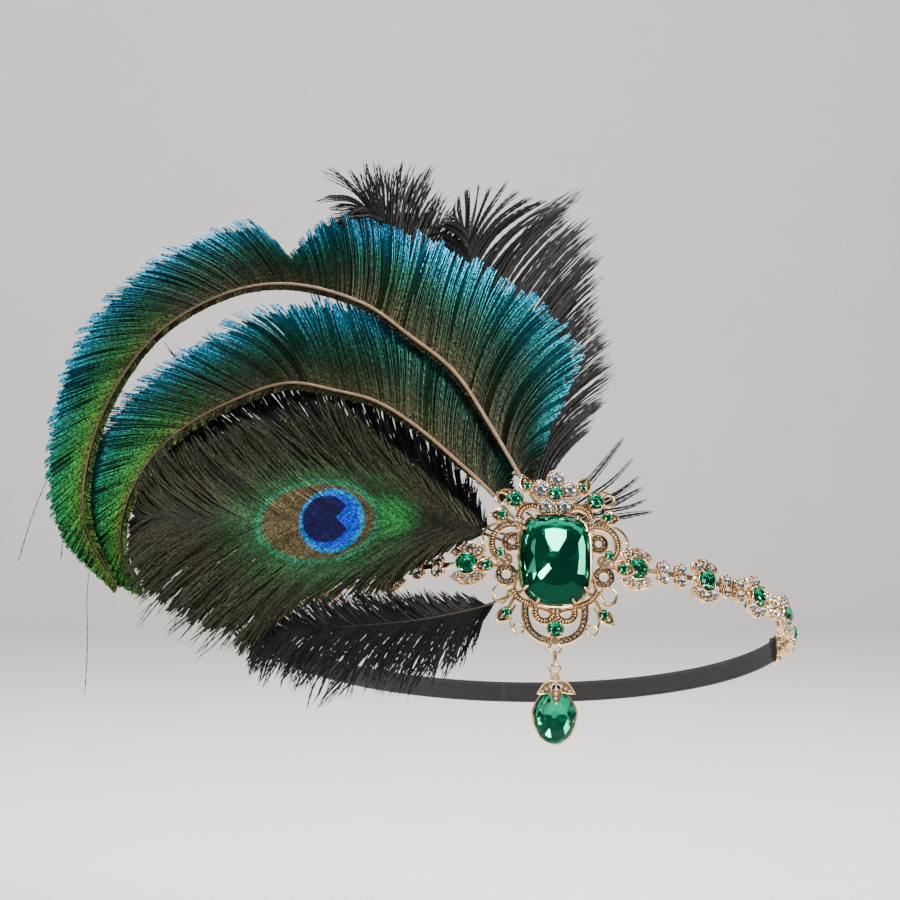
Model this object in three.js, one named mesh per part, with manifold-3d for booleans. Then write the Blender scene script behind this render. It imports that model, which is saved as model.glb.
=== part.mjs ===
// Flapper headband: a jewelled brooch with a hanging drop and a fan of feathers, held round
// the head by two rhinestone chains and an elastic band. Millimetres, +Z up, the wearer's
// face towards -Y, the origin at the middle of the loop.
import * as THREE from "three";
import { mergeVertices } from "three/addons/utils/BufferGeometryUtils.js";
import Module from "manifold-3d";

const wasm = await Module();
wasm.setup();

// Head and loop
const headRadius = 92; // the head is taken as a ball
const loopRise = 19; // height of the loop's plane above the ball's middle
const loopTilt = 19; // degrees, front edge raised
const loopRoll = 2; // degrees, right side lowered
const clearance = 0.3; // between neighbouring pieces
const loopRadius = Math.sqrt(headRadius ** 2 - loopRise ** 2);

// Main stone and its setting
const stoneWidth = 21.6;
const stoneHeight = 29;
const stoneSquareness = 0.56; // power of the outline: 1 gives an ellipse, 0 a rectangle
const stoneBackHeight = 2.6; // below the girdle
const stoneCrownHeight = 3.4; // above the girdle
const settingWall = 1.1;
const settingFloor = 1;

// Brooch castings
const broochStand = 5.5; // from the head to the brooch's back
const broochDrop = 0.8; // the main stone's middle below the loop's plane
const bandWidth = 2; // ribbed and jewelled bands
const bandHeight = 2.4;
const bandTop = 0.7; // share of a band's width that is left at its top
const grooveDepth = 0.6;
const wireRadius = 0.45; // scrolls, rings and eyes
const plateHeight = 1.8; // leaves and struts
const strutWidth = 1.4;
const leafLength = 6.4;
const leafWidth = 4.4;
const lugRadius = 1.3; // carries the eye at the brooch's foot
const sideArc = [118, -52]; // degrees, where the bands beside the main stone start and end
const loopArc = [25, -205]; // the same for the two loops below it
const arcSteps = 7;

// Small stones of the brooch and their cups
const clearRadius = 2.3; // the flower's petals
const flowerEyeRadius = 2;
const cornerRadius = 2.3;
const tailRadius = 2.2;
const accentRadius = 1.3; // on the leaves
const crownRise = 1.1; // table above girdle
const cupWall = 0.5;
const cupFloor = 1;
const petalCupHeight = 3.9;
const flowerEyeCupHeight = 5.2;
const cornerCupHeight = 3.6;
const tailCupHeight = 3.4;

// Drop
const eyeRadius = 1.75; // ring radii are to the middle of the wire
const linkHeight = 5.1;
const linkWidth = 2.6;
const dropRingRadius = 1.6;
const dropWidth = 13;
const dropHeight = 18.2;
const dropBackHeight = 2.4;
const dropCrownHeight = 2.6;
const dropWall = 0.7;
const capWidth = 4.6; // each of the three leaves over the drop's top
const capLength = 8.6;
const capThickness = 1.3;
const capSpread = 52; // degrees between the leaves
const neckWidth = 2.4;
const neckHeight = 3.4;

// Chains
const chainStand = 0.8; // from the head to the chain's back
const halosPerSide = 5;
const haloPitch = 26.6;
const haloRing = 5.2;
const haloStoneRadius = 3.4;
const haloPetalRadius = 1.65;
const petalAngle = 38; // degrees
const barSpacing = 6.7;
const barStoneRadius = 1.9;
const chainCupHeight = 2.4;
const chainCrownRise = 0.9;
const jointHeight = 2.2;
const jointDepth = 1.5;
const jointLift = 0.3; // above the chain's back
const hookRadius = 1.8; // ring at the chain's end, round the brooch's own ring
const hookRise = 2.6; // middle of its wire above the chain's back

// Elastic band at the back
const elasticWidth = 8;
const elasticThickness = 1.6;
const elasticEyeWall = 1;
const elasticSteps = 26;
const buckleBar = 1.2;
const buckleReach = 1.4; // from the last stone to the middle of the near bar

// Feathers
const quillRadius = 1;
const quillTipRadius = 0.45;
const vaneThickness = 0.7;
const fanRadius = 300; // the fan curves back towards the sides
const fanLeanUp = 4; // degrees, back from the brooch's plane
const fanLeanDown = 10;
const quillSeat = clearance + quillRadius; // a quill's middle behind the brooch's back
const firstLayer = quillSeat + clearance; // the frontmost feather's sheet, from the same back
const layerSpacing = 2 * (quillRadius + clearance);
const rootLength = 14; // bare quill behind the brooch
const lockNotch = 0.8; // barb length between two locks, as a share of the locks'
const swordReach = 150;
const shortSwordReach = 132;
const swordBarb = 45;
const eyeReach = 125;
const eyeBarb = 52;
const topPlumeReach = 122;
const topPlumeBarb = 20;
const sidePlumeReach = 114;
const sidePlumeBarb = 50;
const backPlumeReach = 127;
const backPlumeBarb = 20;
const lowPlumeReach = 92;
const lowPlumeBarb = 24;

const broochBack = loopRadius + broochStand;
const chainBack = loopRadius + chainStand;
const radians = THREE.MathUtils.degToRad;

const colours = {
  gold: { color: 0xd9b27c, roughness: 0.28, metalness: 1 },
  emerald: { color: 0x046b43, roughness: 0.05, metalness: 0 },
  crystal: { color: 0xe8eef2, roughness: 0.05, metalness: 0 },
  elastic: { color: 0x141414, roughness: 0.9, metalness: 0 },
  sword: { color: 0x1d7a5c, roughness: 0.5, metalness: 0 },
  eyeFeather: { color: 0x3c4a1c, roughness: 0.6, metalness: 0 },
  plume: { color: 0x0c0c0e, roughness: 0.6, metalness: 0 },
};
const materials = {};
for (const [name, look] of Object.entries(colours)) {
  materials[name] = new THREE.MeshStandardMaterial(look);
}

function solidFrom(geometry) {
  const bare = geometry.clone();
  bare.deleteAttribute("normal");
  bare.deleteAttribute("uv");
  const merged = mergeVertices(bare, 1e-4);
  return new wasm.Manifold(new wasm.Mesh({
    numProp: 3,
    vertProperties: new Float32Array(merged.attributes.position.array),
    triVerts: new Uint32Array(merged.index.array),
  }));
}

function geometryFrom(solid) {
  const mesh = solid.getMesh();
  const geometry = new THREE.BufferGeometry();
  geometry.setAttribute("position", new THREE.BufferAttribute(mesh.vertProperties, 3));
  geometry.setIndex(new THREE.BufferAttribute(mesh.triVerts, 1));
  return geometry;
}

const fuse = (geometries) => geometries.map(solidFrom).reduce((sum, next) => sum.add(next));
const cut = (solid, geometries) =>
  geometries.map(solidFrom).reduce((rest, next) => rest.subtract(next), solid);

function indexed(points, faces) {
  const geometry = new THREE.BufferGeometry().setFromPoints(points);
  geometry.setIndex(faces.flat());
  return geometry;
}

// A closed skin through rings of points that all run the same way round
function loft(rings) {
  const sides = rings[0].length;
  const faces = [];
  for (let row = 0; row + 1 < rings.length; row++) {
    for (let i = 0; i < sides; i++) {
      const j = (i + 1) % sides;
      const [a, b] = [row * sides + i, row * sides + j];
      faces.push([a, b, b + sides], [a, b + sides, a + sides]);
    }
  }
  const last = (rings.length - 1) * sides;
  for (let i = 1; i + 1 < sides; i++) {
    faces.push([0, i + 1, i], [last, last + i, last + i + 1]);
  }
  const points = rings.flat();
  const sixfoldVolume = faces.reduce((sum, [a, b, c]) =>
    sum + points[a].dot(points[b].clone().cross(points[c])), 0);
  return indexed(points, sixfoldVolume > 0 ? faces : faces.map(([a, b, c]) => [a, c, b]));
}

// Outlines give a point for an angle, anticlockwise
const roundOutline = (radius) => (angle) =>
  new THREE.Vector2(radius * Math.cos(angle), radius * Math.sin(angle));

const squared = (share) => Math.sign(share) * Math.abs(share) ** stoneSquareness;
const cushionOutline = (width, height) => (angle) =>
  new THREE.Vector2((width / 2) * squared(Math.cos(angle)), (height / 2) * squared(Math.sin(angle)));

// A drop with its point up, its middle at the middle of its height
const pearOutline = (width, height) => (angle) => {
  const rise = Math.sin(angle);
  const pinch = 1 - 0.5 * Math.max(rise, 0) ** 1.5;
  return new THREE.Vector2((width / 2) * Math.cos(angle) * pinch, (height / 2) * rise);
};

// A cut stone: flat back, girdle, and a crown of kites and triangles round a flat table
function gem(outline, sides, { back, girdle, table, backScale = 0.6, tableScale = 0.55 }) {
  const turn = (2 * Math.PI) / sides;
  const level = (step, scale, height) => Array.from({ length: sides / step }, (_, i) => {
    const point = outline((i * step + 1) * turn).multiplyScalar(scale);
    return new THREE.Vector3(point.x, point.y, height);
  });
  const points = [...level(1, backScale, back), ...level(1, 1, girdle), ...level(2, tableScale, table)];
  const faces = [];
  for (let i = 0; i < sides; i++) {
    const j = (i + 1) % sides;
    faces.push([i, j, sides + j], [i, sides + j, sides + i]);
    if (i > 1) faces.push([0, i, i - 1]);
  }
  for (let k = 0; k < sides / 2; k++) {
    const before = sides + ((2 * k + sides - 1) % sides);
    const at = sides + 2 * k;
    const after = sides + ((2 * k + 1) % sides);
    const corner = 2 * sides + k;
    const next = 2 * sides + ((k + 1) % (sides / 2));
    faces.push([before, at, corner], [at, after, corner], [corner, after, next]);
    if (k > 1) faces.push([2 * sides, corner - 1, corner]);
  }
  return indexed(points, faces);
}

// A straight-sided block of an outline, standing on height `from`
function block(outline, sides, from, to) {
  const ring = (height) => Array.from({ length: sides }, (_, i) => {
    const point = outline((i * 2 * Math.PI) / sides);
    return new THREE.Vector3(point.x, point.y, height);
  });
  return loft([ring(from), ring(to)]);
}

const flatPath = (points) =>
  new THREE.CatmullRomCurve3(points.map(([x, y]) => new THREE.Vector3(x, y, 0)), false, "centripetal");

// A band along a flat path, with a groove across it between each two ribs
function ribbedBand(points, ribs, groove) {
  const path = flatPath(points);
  const rings = [];
  for (let i = 0; i <= 2 * ribs; i++) {
    const middle = path.getPointAt(i / (2 * ribs));
    const along = path.getTangentAt(i / (2 * ribs));
    const across = new THREE.Vector3(along.y, -along.x, 0).multiplyScalar(bandWidth / 2);
    const height = i % 2 ? bandHeight : bandHeight - groove;
    rings.push([[1, 0], [bandTop, height], [-bandTop, height], [-1, 0]].map(([side, rise]) =>
      middle.clone().addScaledVector(across, side).setZ(rise)));
  }
  return loft(rings);
}

function wire(points, radius = wireRadius, steps = 2 * points.length) {
  const section = new THREE.Shape(new THREE.EllipseCurve(0, 0, radius, radius).getPoints(5).slice(0, 5));
  const path = new THREE.CatmullRomCurve3(points.map((point) => new THREE.Vector3(...point)));
  return new THREE.ExtrudeGeometry(section, { steps, extrudePath: path });
}

const ring = (radius, thickness = wireRadius) => new THREE.TorusGeometry(radius, thickness, 5, 10);
const arcPoints = (x, y, radius, from, to, count) => Array.from({ length: count }, (_, i) => {
  const angle = radians(THREE.MathUtils.lerp(from, to, i / (count - 1)));
  return [x + radius * Math.cos(angle), y + radius * Math.sin(angle)];
});

function strut([fromX, fromY], [toX, toY]) {
  const [dx, dy] = [toX - fromX, toY - fromY];
  const bar = new THREE.BoxGeometry(Math.hypot(dx, dy), strutWidth, plateHeight);
  return bar.rotateZ(Math.atan2(dy, dx)).translate(fromX + dx / 2, fromY + dy / 2, plateHeight / 2);
}

// Brooch. Seen from the front: x to the right, y up, z out from its back, the origin behind
// the middle of the main stone. Places are shares of the setting's half width and half height.
const halfWide = stoneWidth / 2 + clearance + settingWall;
const halfHigh = stoneHeight / 2 + clearance + settingWall;
const mainGirdle = settingFloor + clearance + stoneBackHeight;
const at = (x, y) => [x * halfWide, y * halfHigh];

// A flower of five clear stones round a green one, its first petal at the top
const [, flowerY] = at(0, 1.345);
const petalReach = flowerEyeRadius + clearRadius + 2 * clearance;
const petalPlace = (turns) => {
  const angle = (0.25 - turns / 5) * 2 * Math.PI;
  return [petalReach * Math.cos(angle), flowerY + petalReach * Math.sin(angle)];
};

const stoneSeats = {
  // name: [place, radius, height of the cup, stone]
  flower_top: [petalPlace(0), clearRadius, petalCupHeight, "crystal"],
  flower_right: [petalPlace(1), clearRadius, petalCupHeight, "crystal"],
  flower_low_right: [petalPlace(2), clearRadius, petalCupHeight, "crystal"],
  flower_low_left: [petalPlace(3), clearRadius, petalCupHeight, "crystal"],
  flower_left: [petalPlace(4), clearRadius, petalCupHeight, "crystal"],
  flower_middle: [[0, flowerY], flowerEyeRadius, flowerEyeCupHeight, "emerald"],
  corner_right: [at(1.04, 1.23), cornerRadius, cornerCupHeight, "emerald"],
  corner_left: [at(-1.04, 1.23), cornerRadius, cornerCupHeight, "emerald"],
  tail: [at(0, -1.37), tailRadius, tailCupHeight, "emerald"],
};

// Leaves with a small fixed stone at their broad end: [across, up, the way they point in degrees]
const leaves = [
  [0.72, 1.52, 66],
  [1.36, 0.91, 0],
  [1.74, -0.12, -8],
  [1.24, -1.06, -44],
];

function seatedStone([[x, y], radius, height]) {
  const stone = gem(roundOutline(radius), 8, {
    back: cupFloor + clearance,
    girdle: height,
    table: height + crownRise,
  });
  return stone.translate(x, y, 0);
}

const cup = ([[x, y], radius, height]) =>
  block(roundOutline(radius + clearance + cupWall), 8, 0, height).translate(x, y, 0);

const cupHollow = ([[x, y], radius, height]) =>
  block(roundOutline(radius + clearance), 8, cupFloor, height + crownRise).translate(x, y, 0);

function leaf(across, up, direction) {
  const plate = block(pearOutline(leafWidth, leafLength), 8, 0, plateHeight);
  plate.translate(0, (leafLength - leafWidth) / 2, 0).rotateZ(radians(direction - 90));
  const stone = gem(roundOutline(accentRadius), 8, {
    back: plateHeight / 2,
    girdle: plateHeight + crownRise / 2,
    table: plateHeight + crownRise,
    backScale: 1,
  });
  const [x, y] = at(across, up);
  return [plate.translate(x, y, 0), stone.translate(x, y, 0)];
}

// A jewelled ring with an open middle
function paisley(across, up, radius) {
  const band = new THREE.TorusGeometry(radius, bandWidth / 2, 4, 10);
  return band.scale(1, 1, bandHeight / bandWidth).translate(...at(across, up), bandHeight / 2);
}

// The right-hand half of the castings; the left-hand half is its mirror image
function broochSide() {
  const [arcX, arcY] = at(1.1, 0.34);
  const arcRadius = 0.51 * halfWide;
  const outerBand = arcPoints(arcX, arcY, arcRadius, ...sideArc, arcSteps);
  const bottomBand = [[1.1, -0.56], [0.92, -0.77], [0.6, -0.89], [0.26, -0.945], [0, -1.02]];
  const loopBand = arcPoints(...at(0.27, -1.03), 0.23 * halfWide, ...loopArc, arcSteps);
  const arm = [[0.76, -0.86], [0.74, -1.16], [0.62, -1.4], [0.4, -1.54], [0.14, -1.6]];
  const wireZ = bandHeight / 2;
  const placed = (points) => points.map((point) => at(...point));
  const raised = (points) => points.map((point) => [...at(...point), wireZ]);
  const parts = [
    ribbedBand(outerBand, arcSteps, grooveDepth),
    ribbedBand(placed(bottomBand), 7, grooveDepth),
    ribbedBand(loopBand, 5, grooveDepth),
    ribbedBand(placed(arm), 3, 0),
    paisley(1.11, 0.37, 0.17 * halfWide),
    paisley(1.24, -0.3, 0.2 * halfWide),
    ring(0.21 * halfWide).translate(...at(1.36, -0.66), wireZ),
    ring(0.16 * halfWide).translate(...at(1.38, 1.27), wireZ),
    ring(0.12 * halfWide).translate(...at(1.75, 0.35), wireZ),
    ring(0.14 * halfWide).translate(...at(0.93, -1.37), wireZ),
    wire(raised([[1.34, 0.7], [1.62, 0.7], [1.86, 0.54], [1.87, 0.35]])),
    wire(raised([[1.04, -0.92], [1.12, -1.16], [1.07, -1.36]])),
    strut(at(1.0, -0.7), at(1.24, -1.06)),
    strut(at(0.8, 0.82), at(1.04, 1.23)),
    strut(at(0.25, 1.1), at(1.04, 1.23)),
    strut(at(1.0, 0.74), at(1.36, 0.91)),
    strut(at(1.24, -0.1), at(1.74, -0.12)),
    ...leaves.flatMap((row) => leaf(...row)),
  ];
  return fuse(parts);
}

// Eye at the foot of the brooch, in the brooch's plane, on a lug behind the ends of the arms
const [, lugY] = at(0, -1.61);
const eyeY = lugY - eyeRadius - lugRadius / 3;
const eyeZ = bandHeight / 2;

// Rings that hold the chains lie in the loop's plane, from the brooch's back to just past the
// hook at the chain's end, which runs upright through them.
const hitchX = 1.58 * halfWide;
const hookLine = chainBack + hookRise;
const hookDepth = broochBack - Math.sqrt(hookLine ** 2 - hitchX ** 2);
const hitchRadius = hookDepth / 2 + 2 * wireRadius + clearance;
const hitchZ = 2 * wireRadius - hitchRadius;

function broochFrame() {
  const outline = cushionOutline(2 * halfWide, 2 * halfHigh);
  const pocket = cushionOutline(stoneWidth + 2 * clearance, stoneHeight + 2 * clearance);
  const side = broochSide();
  const cups = Object.values(stoneSeats);
  const hitches = [-1, 1].map((way) =>
    ring(hitchRadius).rotateX(Math.PI / 2).translate(way * hitchX, broochDrop, hitchZ));
  const frame = fuse([
    block(outline, 16, 0, mainGirdle),
    ring(eyeRadius).translate(0, eyeY, eyeZ),
    block(roundOutline(lugRadius), 8, 0, bandHeight).translate(0, lugY, 0),
    ...hitches,
    ...cups.map(cup),
  ]).add(side).add(side.mirror([1, 0, 0]));
  return cut(frame, [block(pocket, 16, settingFloor, 2 * mainGirdle), ...cups.map(cupHollow)]);
}

function mainStone() {
  return gem(cushionOutline(stoneWidth, stoneHeight), 16, {
    back: settingFloor + clearance,
    girdle: mainGirdle,
    table: mainGirdle + stoneCrownHeight,
    backScale: 0.8,
    tableScale: 0.6,
  });
}

// Chains. Each piece is drawn flat, as on the brooch, and then bent to its place on the loop.
const chainLine = chainBack + chainCupHeight;

function onLoop(geometry, distance) {
  return geometry.rotateX(Math.PI / 2).translate(0, -chainBack, 0).rotateZ(distance / chainLine);
}

const chainStone = (radius, sides, x, y, rise = 0) => gem(roundOutline(radius), sides, {
  back: 0,
  girdle: chainCupHeight + rise,
  table: chainCupHeight + rise + chainCrownRise,
  backScale: 1,
}).translate(x, y, 0);

function halo() {
  const parts = [chainStone(haloStoneRadius + cupWall, 10, 0, 0, chainCrownRise)];
  for (const above of [1, -1]) {
    for (const turn of [-petalAngle, 0, petalAngle]) {
      const angle = radians(turn);
      const [x, y] = [haloRing * Math.sin(angle), above * haloRing * Math.cos(angle)];
      parts.push(chainStone(haloPetalRadius, 8, x, y));
    }
  }
  return parts;
}

// The two stones of a bar run into each other a little, as soldered cups do
const bar = () => [1, -1].map((way) => chainStone(barStoneRadius, 8, 0, way * 0.92 * barStoneRadius));

const joint = (length) =>
  new THREE.BoxGeometry(length, jointHeight, jointDepth).translate(0, 0, jointDepth / 2 + jointLift);

// Places along the chain, from the front
const hookPlace = chainLine * Math.asin((hitchX + 0.6 * hitchRadius) / hookLine);
const firstHalo = hookPlace + hookRadius + haloStoneRadius + cupWall;
const buckleOuter = elasticWidth + 2 * clearance + 2 * buckleBar;
const buckleInnerWidth = elasticEyeWall + 2 * clearance;
const barOffset = (haloPitch - barSpacing) / 2;
const lastBar = firstHalo + (halosPerSide - 1) * haloPitch + barOffset + barSpacing;
const buckleNear = lastBar + barStoneRadius + buckleReach;
const buckleFar = buckleNear + buckleBar + buckleInnerWidth;
const buckleZ = buckleBar / 2 + jointLift;

function chain(way) {
  const parts = [];
  const place = (pieces, distance) => pieces.forEach((piece) => parts.push(onLoop(piece, way * distance)));
  const link = (from, to) => place([joint(to - from)], (from + to) / 2);
  const haloEdge = 0.8 * haloStoneRadius; // joints run into the halo's cup
  for (let i = 0; i < halosPerSide; i++) {
    const middle = firstHalo + i * haloPitch;
    place(halo(), middle);
    place(bar(), middle + barOffset);
    place(bar(), middle + barOffset + barSpacing);
    link(middle + haloEdge, i + 1 < halosPerSide ? middle + haloPitch - haloEdge : buckleNear);
  }
  const upright = () => new THREE.BoxGeometry(buckleBar, buckleOuter, buckleBar).translate(0, 0, buckleZ);
  place([upright()], buckleNear);
  place([upright()], buckleFar);
  for (const end of [1, -1]) {
    const rail = new THREE.BoxGeometry(buckleFar - buckleNear, buckleBar, buckleBar);
    place([rail.translate(0, (end * (buckleOuter - buckleBar)) / 2, buckleZ)], (buckleNear + buckleFar) / 2);
  }
  place([ring(hookRadius).translate(0, 0, hookRise)], hookPlace);
  return fuse(parts);
}

// The elastic is folded round the far bar of each buckle
function elastic() {
  const line = chainBack + buckleZ;
  const start = buckleFar / chainLine;
  const middle = (angle) => new THREE.Vector3(line * Math.sin(angle), -line * Math.cos(angle), 0);
  const rings = [];
  for (let i = 0; i <= elasticSteps; i++) {
    const angle = THREE.MathUtils.lerp(start, 2 * Math.PI - start, i / elasticSteps);
    const out = middle(angle).normalize();
    rings.push([[-1, -1], [1, -1], [1, 1], [-1, 1]].map(([radial, up]) =>
      middle(angle).addScaledVector(out, (radial * elasticThickness) / 2).setZ((up * elasticWidth) / 2)));
  }
  const holeRadius = (buckleBar / 2) * Math.SQRT2 + clearance;
  const column = (radius, height, angle) => {
    const { x, y } = middle(angle);
    return new THREE.CylinderGeometry(radius, radius, height, 12).rotateX(Math.PI / 2).translate(x, y, 0);
  };
  const ends = [start, -start];
  const eyes = ends.map((end) => column(holeRadius + elasticEyeWall, elasticWidth, end));
  const strap = fuse([loft(rings), ...eyes]);
  return cut(strap, ends.map((end) => column(holeRadius, 2 * elasticWidth, end)));
}

// Feathers lie on sheets one behind another. A sheet is upright behind the brooch, curves
// back to the sides and leans back above and below.
function sheetDepth(x, z, layer) {
  const lean = Math.abs(z) * Math.tan(radians(z > 0 ? fanLeanUp : fanLeanDown));
  return -broochBack + firstLayer + layer * layerSpacing + x ** 2 / (2 * fanRadius) + lean;
}

// Seats behind the brooch: [across, up], as shares of the setting's half width and half height.
// Quills: rows of [across, up] from the seat, as shares of the reach.
// Barbs: rows of [along, left side, right side], the first a share of the quill past its root
// and the others of the barb length. Left and right are as seen from the front, looking along the quill.
const feathers = {
  sword_feather_outer: {
    seat: [-0.12, 0.87], reach: swordReach, barb: swordBarb, layer: 1,
    locks: 15, sweep: 20, colour: "sword",
    quill: [[0, 0], [-0.06, 0.11], [-0.12, 0.22], [-0.2, 0.35], [-0.3, 0.44], [-0.4, 0.52], [-0.57, 0.58],
      [-0.71, 0.57], [-0.87, 0.48], [-0.98, 0.29], [-1, 0.07], [-0.91, -0.11]],
    barbs: [[0, 0.02, 0.08], [0.04, 0.04, 0.5], [0.07, 0.06, 0.95], [0.16, 0.1, 0.86], [0.26, 0.1, 0.74],
      [0.39, 0.12, 0.62], [0.43, 0.12, 0.25], [0.46, 0.12, 0.6], [0.58, 0.13, 0.6], [0.68, 0.14, 0.52],
      [0.77, 0.14, 0.38], [0.89, 0.14, 0.22], [1, 0.03, 0.04]],
  },
  sword_feather_inner: {
    seat: [-0.66, 0.62], reach: shortSwordReach, barb: swordBarb, layer: 2,
    locks: 14, sweep: 18, colour: "sword",
    quill: [[0, 0], [-0.08, 0.11], [-0.17, 0.2], [-0.28, 0.3], [-0.37, 0.36], [-0.46, 0.39], [-0.59, 0.42],
      [-0.73, 0.38], [-0.83, 0.33], [-0.92, 0.25], [-0.98, 0.12], [-0.98, 0], [-0.92, -0.1]],
    barbs: [[0, 0.02, 0.1], [0.04, 0.04, 0.5], [0.08, 0.06, 0.98], [0.19, 0.1, 0.9], [0.31, 0.12, 0.8],
      [0.44, 0.14, 0.7], [0.57, 0.16, 0.6], [0.7, 0.16, 0.54], [0.8, 0.14, 0.44], [0.89, 0.12, 0.28],
      [1, 0.03, 0.05]],
  },
  eye_feather: {
    seat: [-0.78, 0.21], reach: eyeReach, barb: eyeBarb, layer: 0,
    locks: 13, sweep: 42, colour: "eyeFeather",
    quill: [[0, 0], [-0.09, 0.05], [-0.23, 0.07], [-0.36, 0.09], [-0.47, 0.09], [-0.65, 0.1], [-0.83, 0.12],
      [-0.99, 0.14]],
    barbs: [[0, 0.1, 0.1], [0.1, 0.62, 0.9], [0.27, 0.95, 1], [0.44, 1, 0.9], [0.61, 0.86, 0.74],
      [0.78, 0.62, 0.56], [0.91, 0.34, 0.32], [1, 0.05, 0.05]],
  },
  plume_right: {
    seat: [0.2, 0.87], reach: sidePlumeReach, barb: sidePlumeBarb, layer: 3,
    locks: 13, sweep: 30, colour: "plume",
    quill: [[0, 0], [-0.06, 0.12], [-0.13, 0.37], [-0.2, 0.61], [-0.25, 0.81], [-0.27, 0.95], [-0.31, 0.99]],
    barbs: [[0, 0.04, 0.5], [0.1, 0.2, 0.78], [0.33, 0.26, 0.84], [0.55, 0.3, 1], [0.78, 0.28, 0.86],
      [0.91, 0.22, 0.5], [1, 0.06, 0.1]],
  },
  plume_top: {
    seat: [-0.41, 0.81], reach: topPlumeReach, barb: topPlumeBarb, layer: 4,
    locks: 11, sweep: 32, colour: "plume",
    quill: [[0, 0], [-0.07, 0.12], [-0.14, 0.31], [-0.2, 0.49], [-0.27, 0.65], [-0.35, 0.83], [-0.43, 0.95],
      [-0.49, 0.98], [-0.53, 0.94]],
    barbs: [[0, 0.1, 0.1], [0.23, 0.7, 0.7], [0.45, 0.9, 0.9], [0.67, 1, 1], [0.83, 0.85, 0.9],
      [0.94, 0.5, 0.6], [1, 0.1, 0.1]],
  },
  plume_back: {
    seat: [-0.78, 0.43], reach: backPlumeReach, barb: backPlumeBarb, layer: 5,
    locks: 11, sweep: 34, colour: "plume",
    quill: [[0, 0], [-0.16, 0.13], [-0.4, 0.26], [-0.64, 0.33], [-0.86, 0.33], [-1, 0.28]],
    barbs: [[0, 0.1, 0.1], [0.22, 0.75, 0.9], [0.44, 0.9, 1], [0.67, 0.9, 1], [0.87, 0.7, 0.7],
      [1, 0.1, 0.1]],
  },
  plume_low: {
    seat: [-0.66, -0.52], reach: lowPlumeReach, barb: lowPlumeBarb, layer: 1.1,
    locks: 11, sweep: 30, colour: "plume",
    quill: [[0, 0], [-0.16, -0.05], [-0.35, -0.09], [-0.57, -0.11], [-0.78, -0.12], [-0.98, -0.14]],
    barbs: [[0, 0.7, 0.2], [0.18, 1, 0.4], [0.41, 0.92, 0.5], [0.65, 0.76, 0.5], [0.86, 0.5, 0.34],
      [1, 0.1, 0.1]],
  },
};

// Straight-line reading of a table at a share along its first column
function readTable(rows, share, column) {
  const after = rows.findIndex((row) => row[0] >= share);
  if (after <= 0) return rows[after < 0 ? rows.length - 1 : 0][column];
  const [low, high] = [rows[after - 1], rows[after]];
  return THREE.MathUtils.mapLinear(share, low[0], high[0], low[column], high[column]);
}

function feather({ seat, reach, barb, layer, locks, sweep, quill, barbs }) {
  const [seatX, seatZ] = at(...seat);
  const path = new THREE.CatmullRomCurve3(quill.map(([across, up]) =>
    new THREE.Vector3(seatX + reach * across, 0, seatZ - broochDrop + reach * up)), false, "centripetal");
  const seatDepth = -broochBack + quillSeat;
  const length = path.getLength();
  const root = rootLength / length;
  const stations = [0, 0.5 * root];
  for (let i = 0; i <= 2 * locks; i++) {
    stations.push(THREE.MathUtils.lerp(root, 1, i / (2 * locks)));
  }
  const lean = radians(sweep);
  const rings = stations.map((share, i) => {
    const middle = path.getPointAt(share);
    const along = path.getTangentAt(share);
    const left = new THREE.Vector3(-along.z, 0, along.x);
    const inPlace = THREE.MathUtils.smoothstep(share * length, 0, rootLength);
    const notch = i % 2 ? 1 : lockNotch;
    const radius = THREE.MathUtils.lerp(quillRadius, quillTipRadius, share);
    const settle = (point) => {
      point.y = THREE.MathUtils.lerp(seatDepth, sheetDepth(point.x, point.z, layer), inPlace);
      return point;
    };
    const edge = (side, column) => {
      const pastRoot = (share - root) / (1 - root);
      const barbed = pastRoot >= 0 ? barb * notch * readTable(barbs, pastRoot, column) : 0;
      const reachOut = Math.max(barbed * Math.cos(lean), radius);
      const point = middle.clone().addScaledVector(left, side * reachOut);
      return settle(point.addScaledVector(along, barbed * Math.sin(lean)));
    };
    const spine = settle(middle.clone());
    const [leftEdge, rightEdge] = [edge(1, 1), edge(-1, 2)];
    const lifted = (point, amount) => point.clone().add(new THREE.Vector3(0, amount, 0));
    const half = vaneThickness / 2;
    return [
      lifted(leftEdge, -half), lifted(spine, -radius), lifted(rightEdge, -half),
      lifted(rightEdge, half), lifted(spine, radius), lifted(leftEdge, half),
    ];
  });
  return loft(rings);
}

// Drop: a jump ring through the brooch's eye, and the setting with its stone below it. The
// origin is the middle of the eye's lowest wire, and the setting hangs from the link's lowest.
const ringReach = 2 * wireRadius + clearance / 2;
const linkTop = ringReach;
const linkFoot = linkTop - linkHeight;
const dropRingMiddle = linkFoot + ringReach - dropRingRadius;
const neckTop = dropRingMiddle - dropRingRadius;
const stoneMiddle = neckTop + wireRadius - neckHeight - dropHeight / 2;
const dropFront = dropWall + clearance + dropBackHeight + dropCrownHeight;
const dropRingDepth = dropFront / 2 + capThickness / 2;

function dropLink() {
  const points = [];
  const bend = linkWidth / 2;
  for (let i = 0; i < 8; i++) {
    const angle = (i * Math.PI) / 4 + Math.PI / 8;
    const rise = Math.sin(angle) > 0 ? linkTop - bend : linkFoot + bend;
    points.push(new THREE.Vector3(0, bend * Math.cos(angle), rise + bend * Math.sin(angle)));
  }
  const path = new THREE.CatmullRomCurve3(points, true);
  return new THREE.TubeGeometry(path, 14, wireRadius, 5, true);
}

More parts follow.
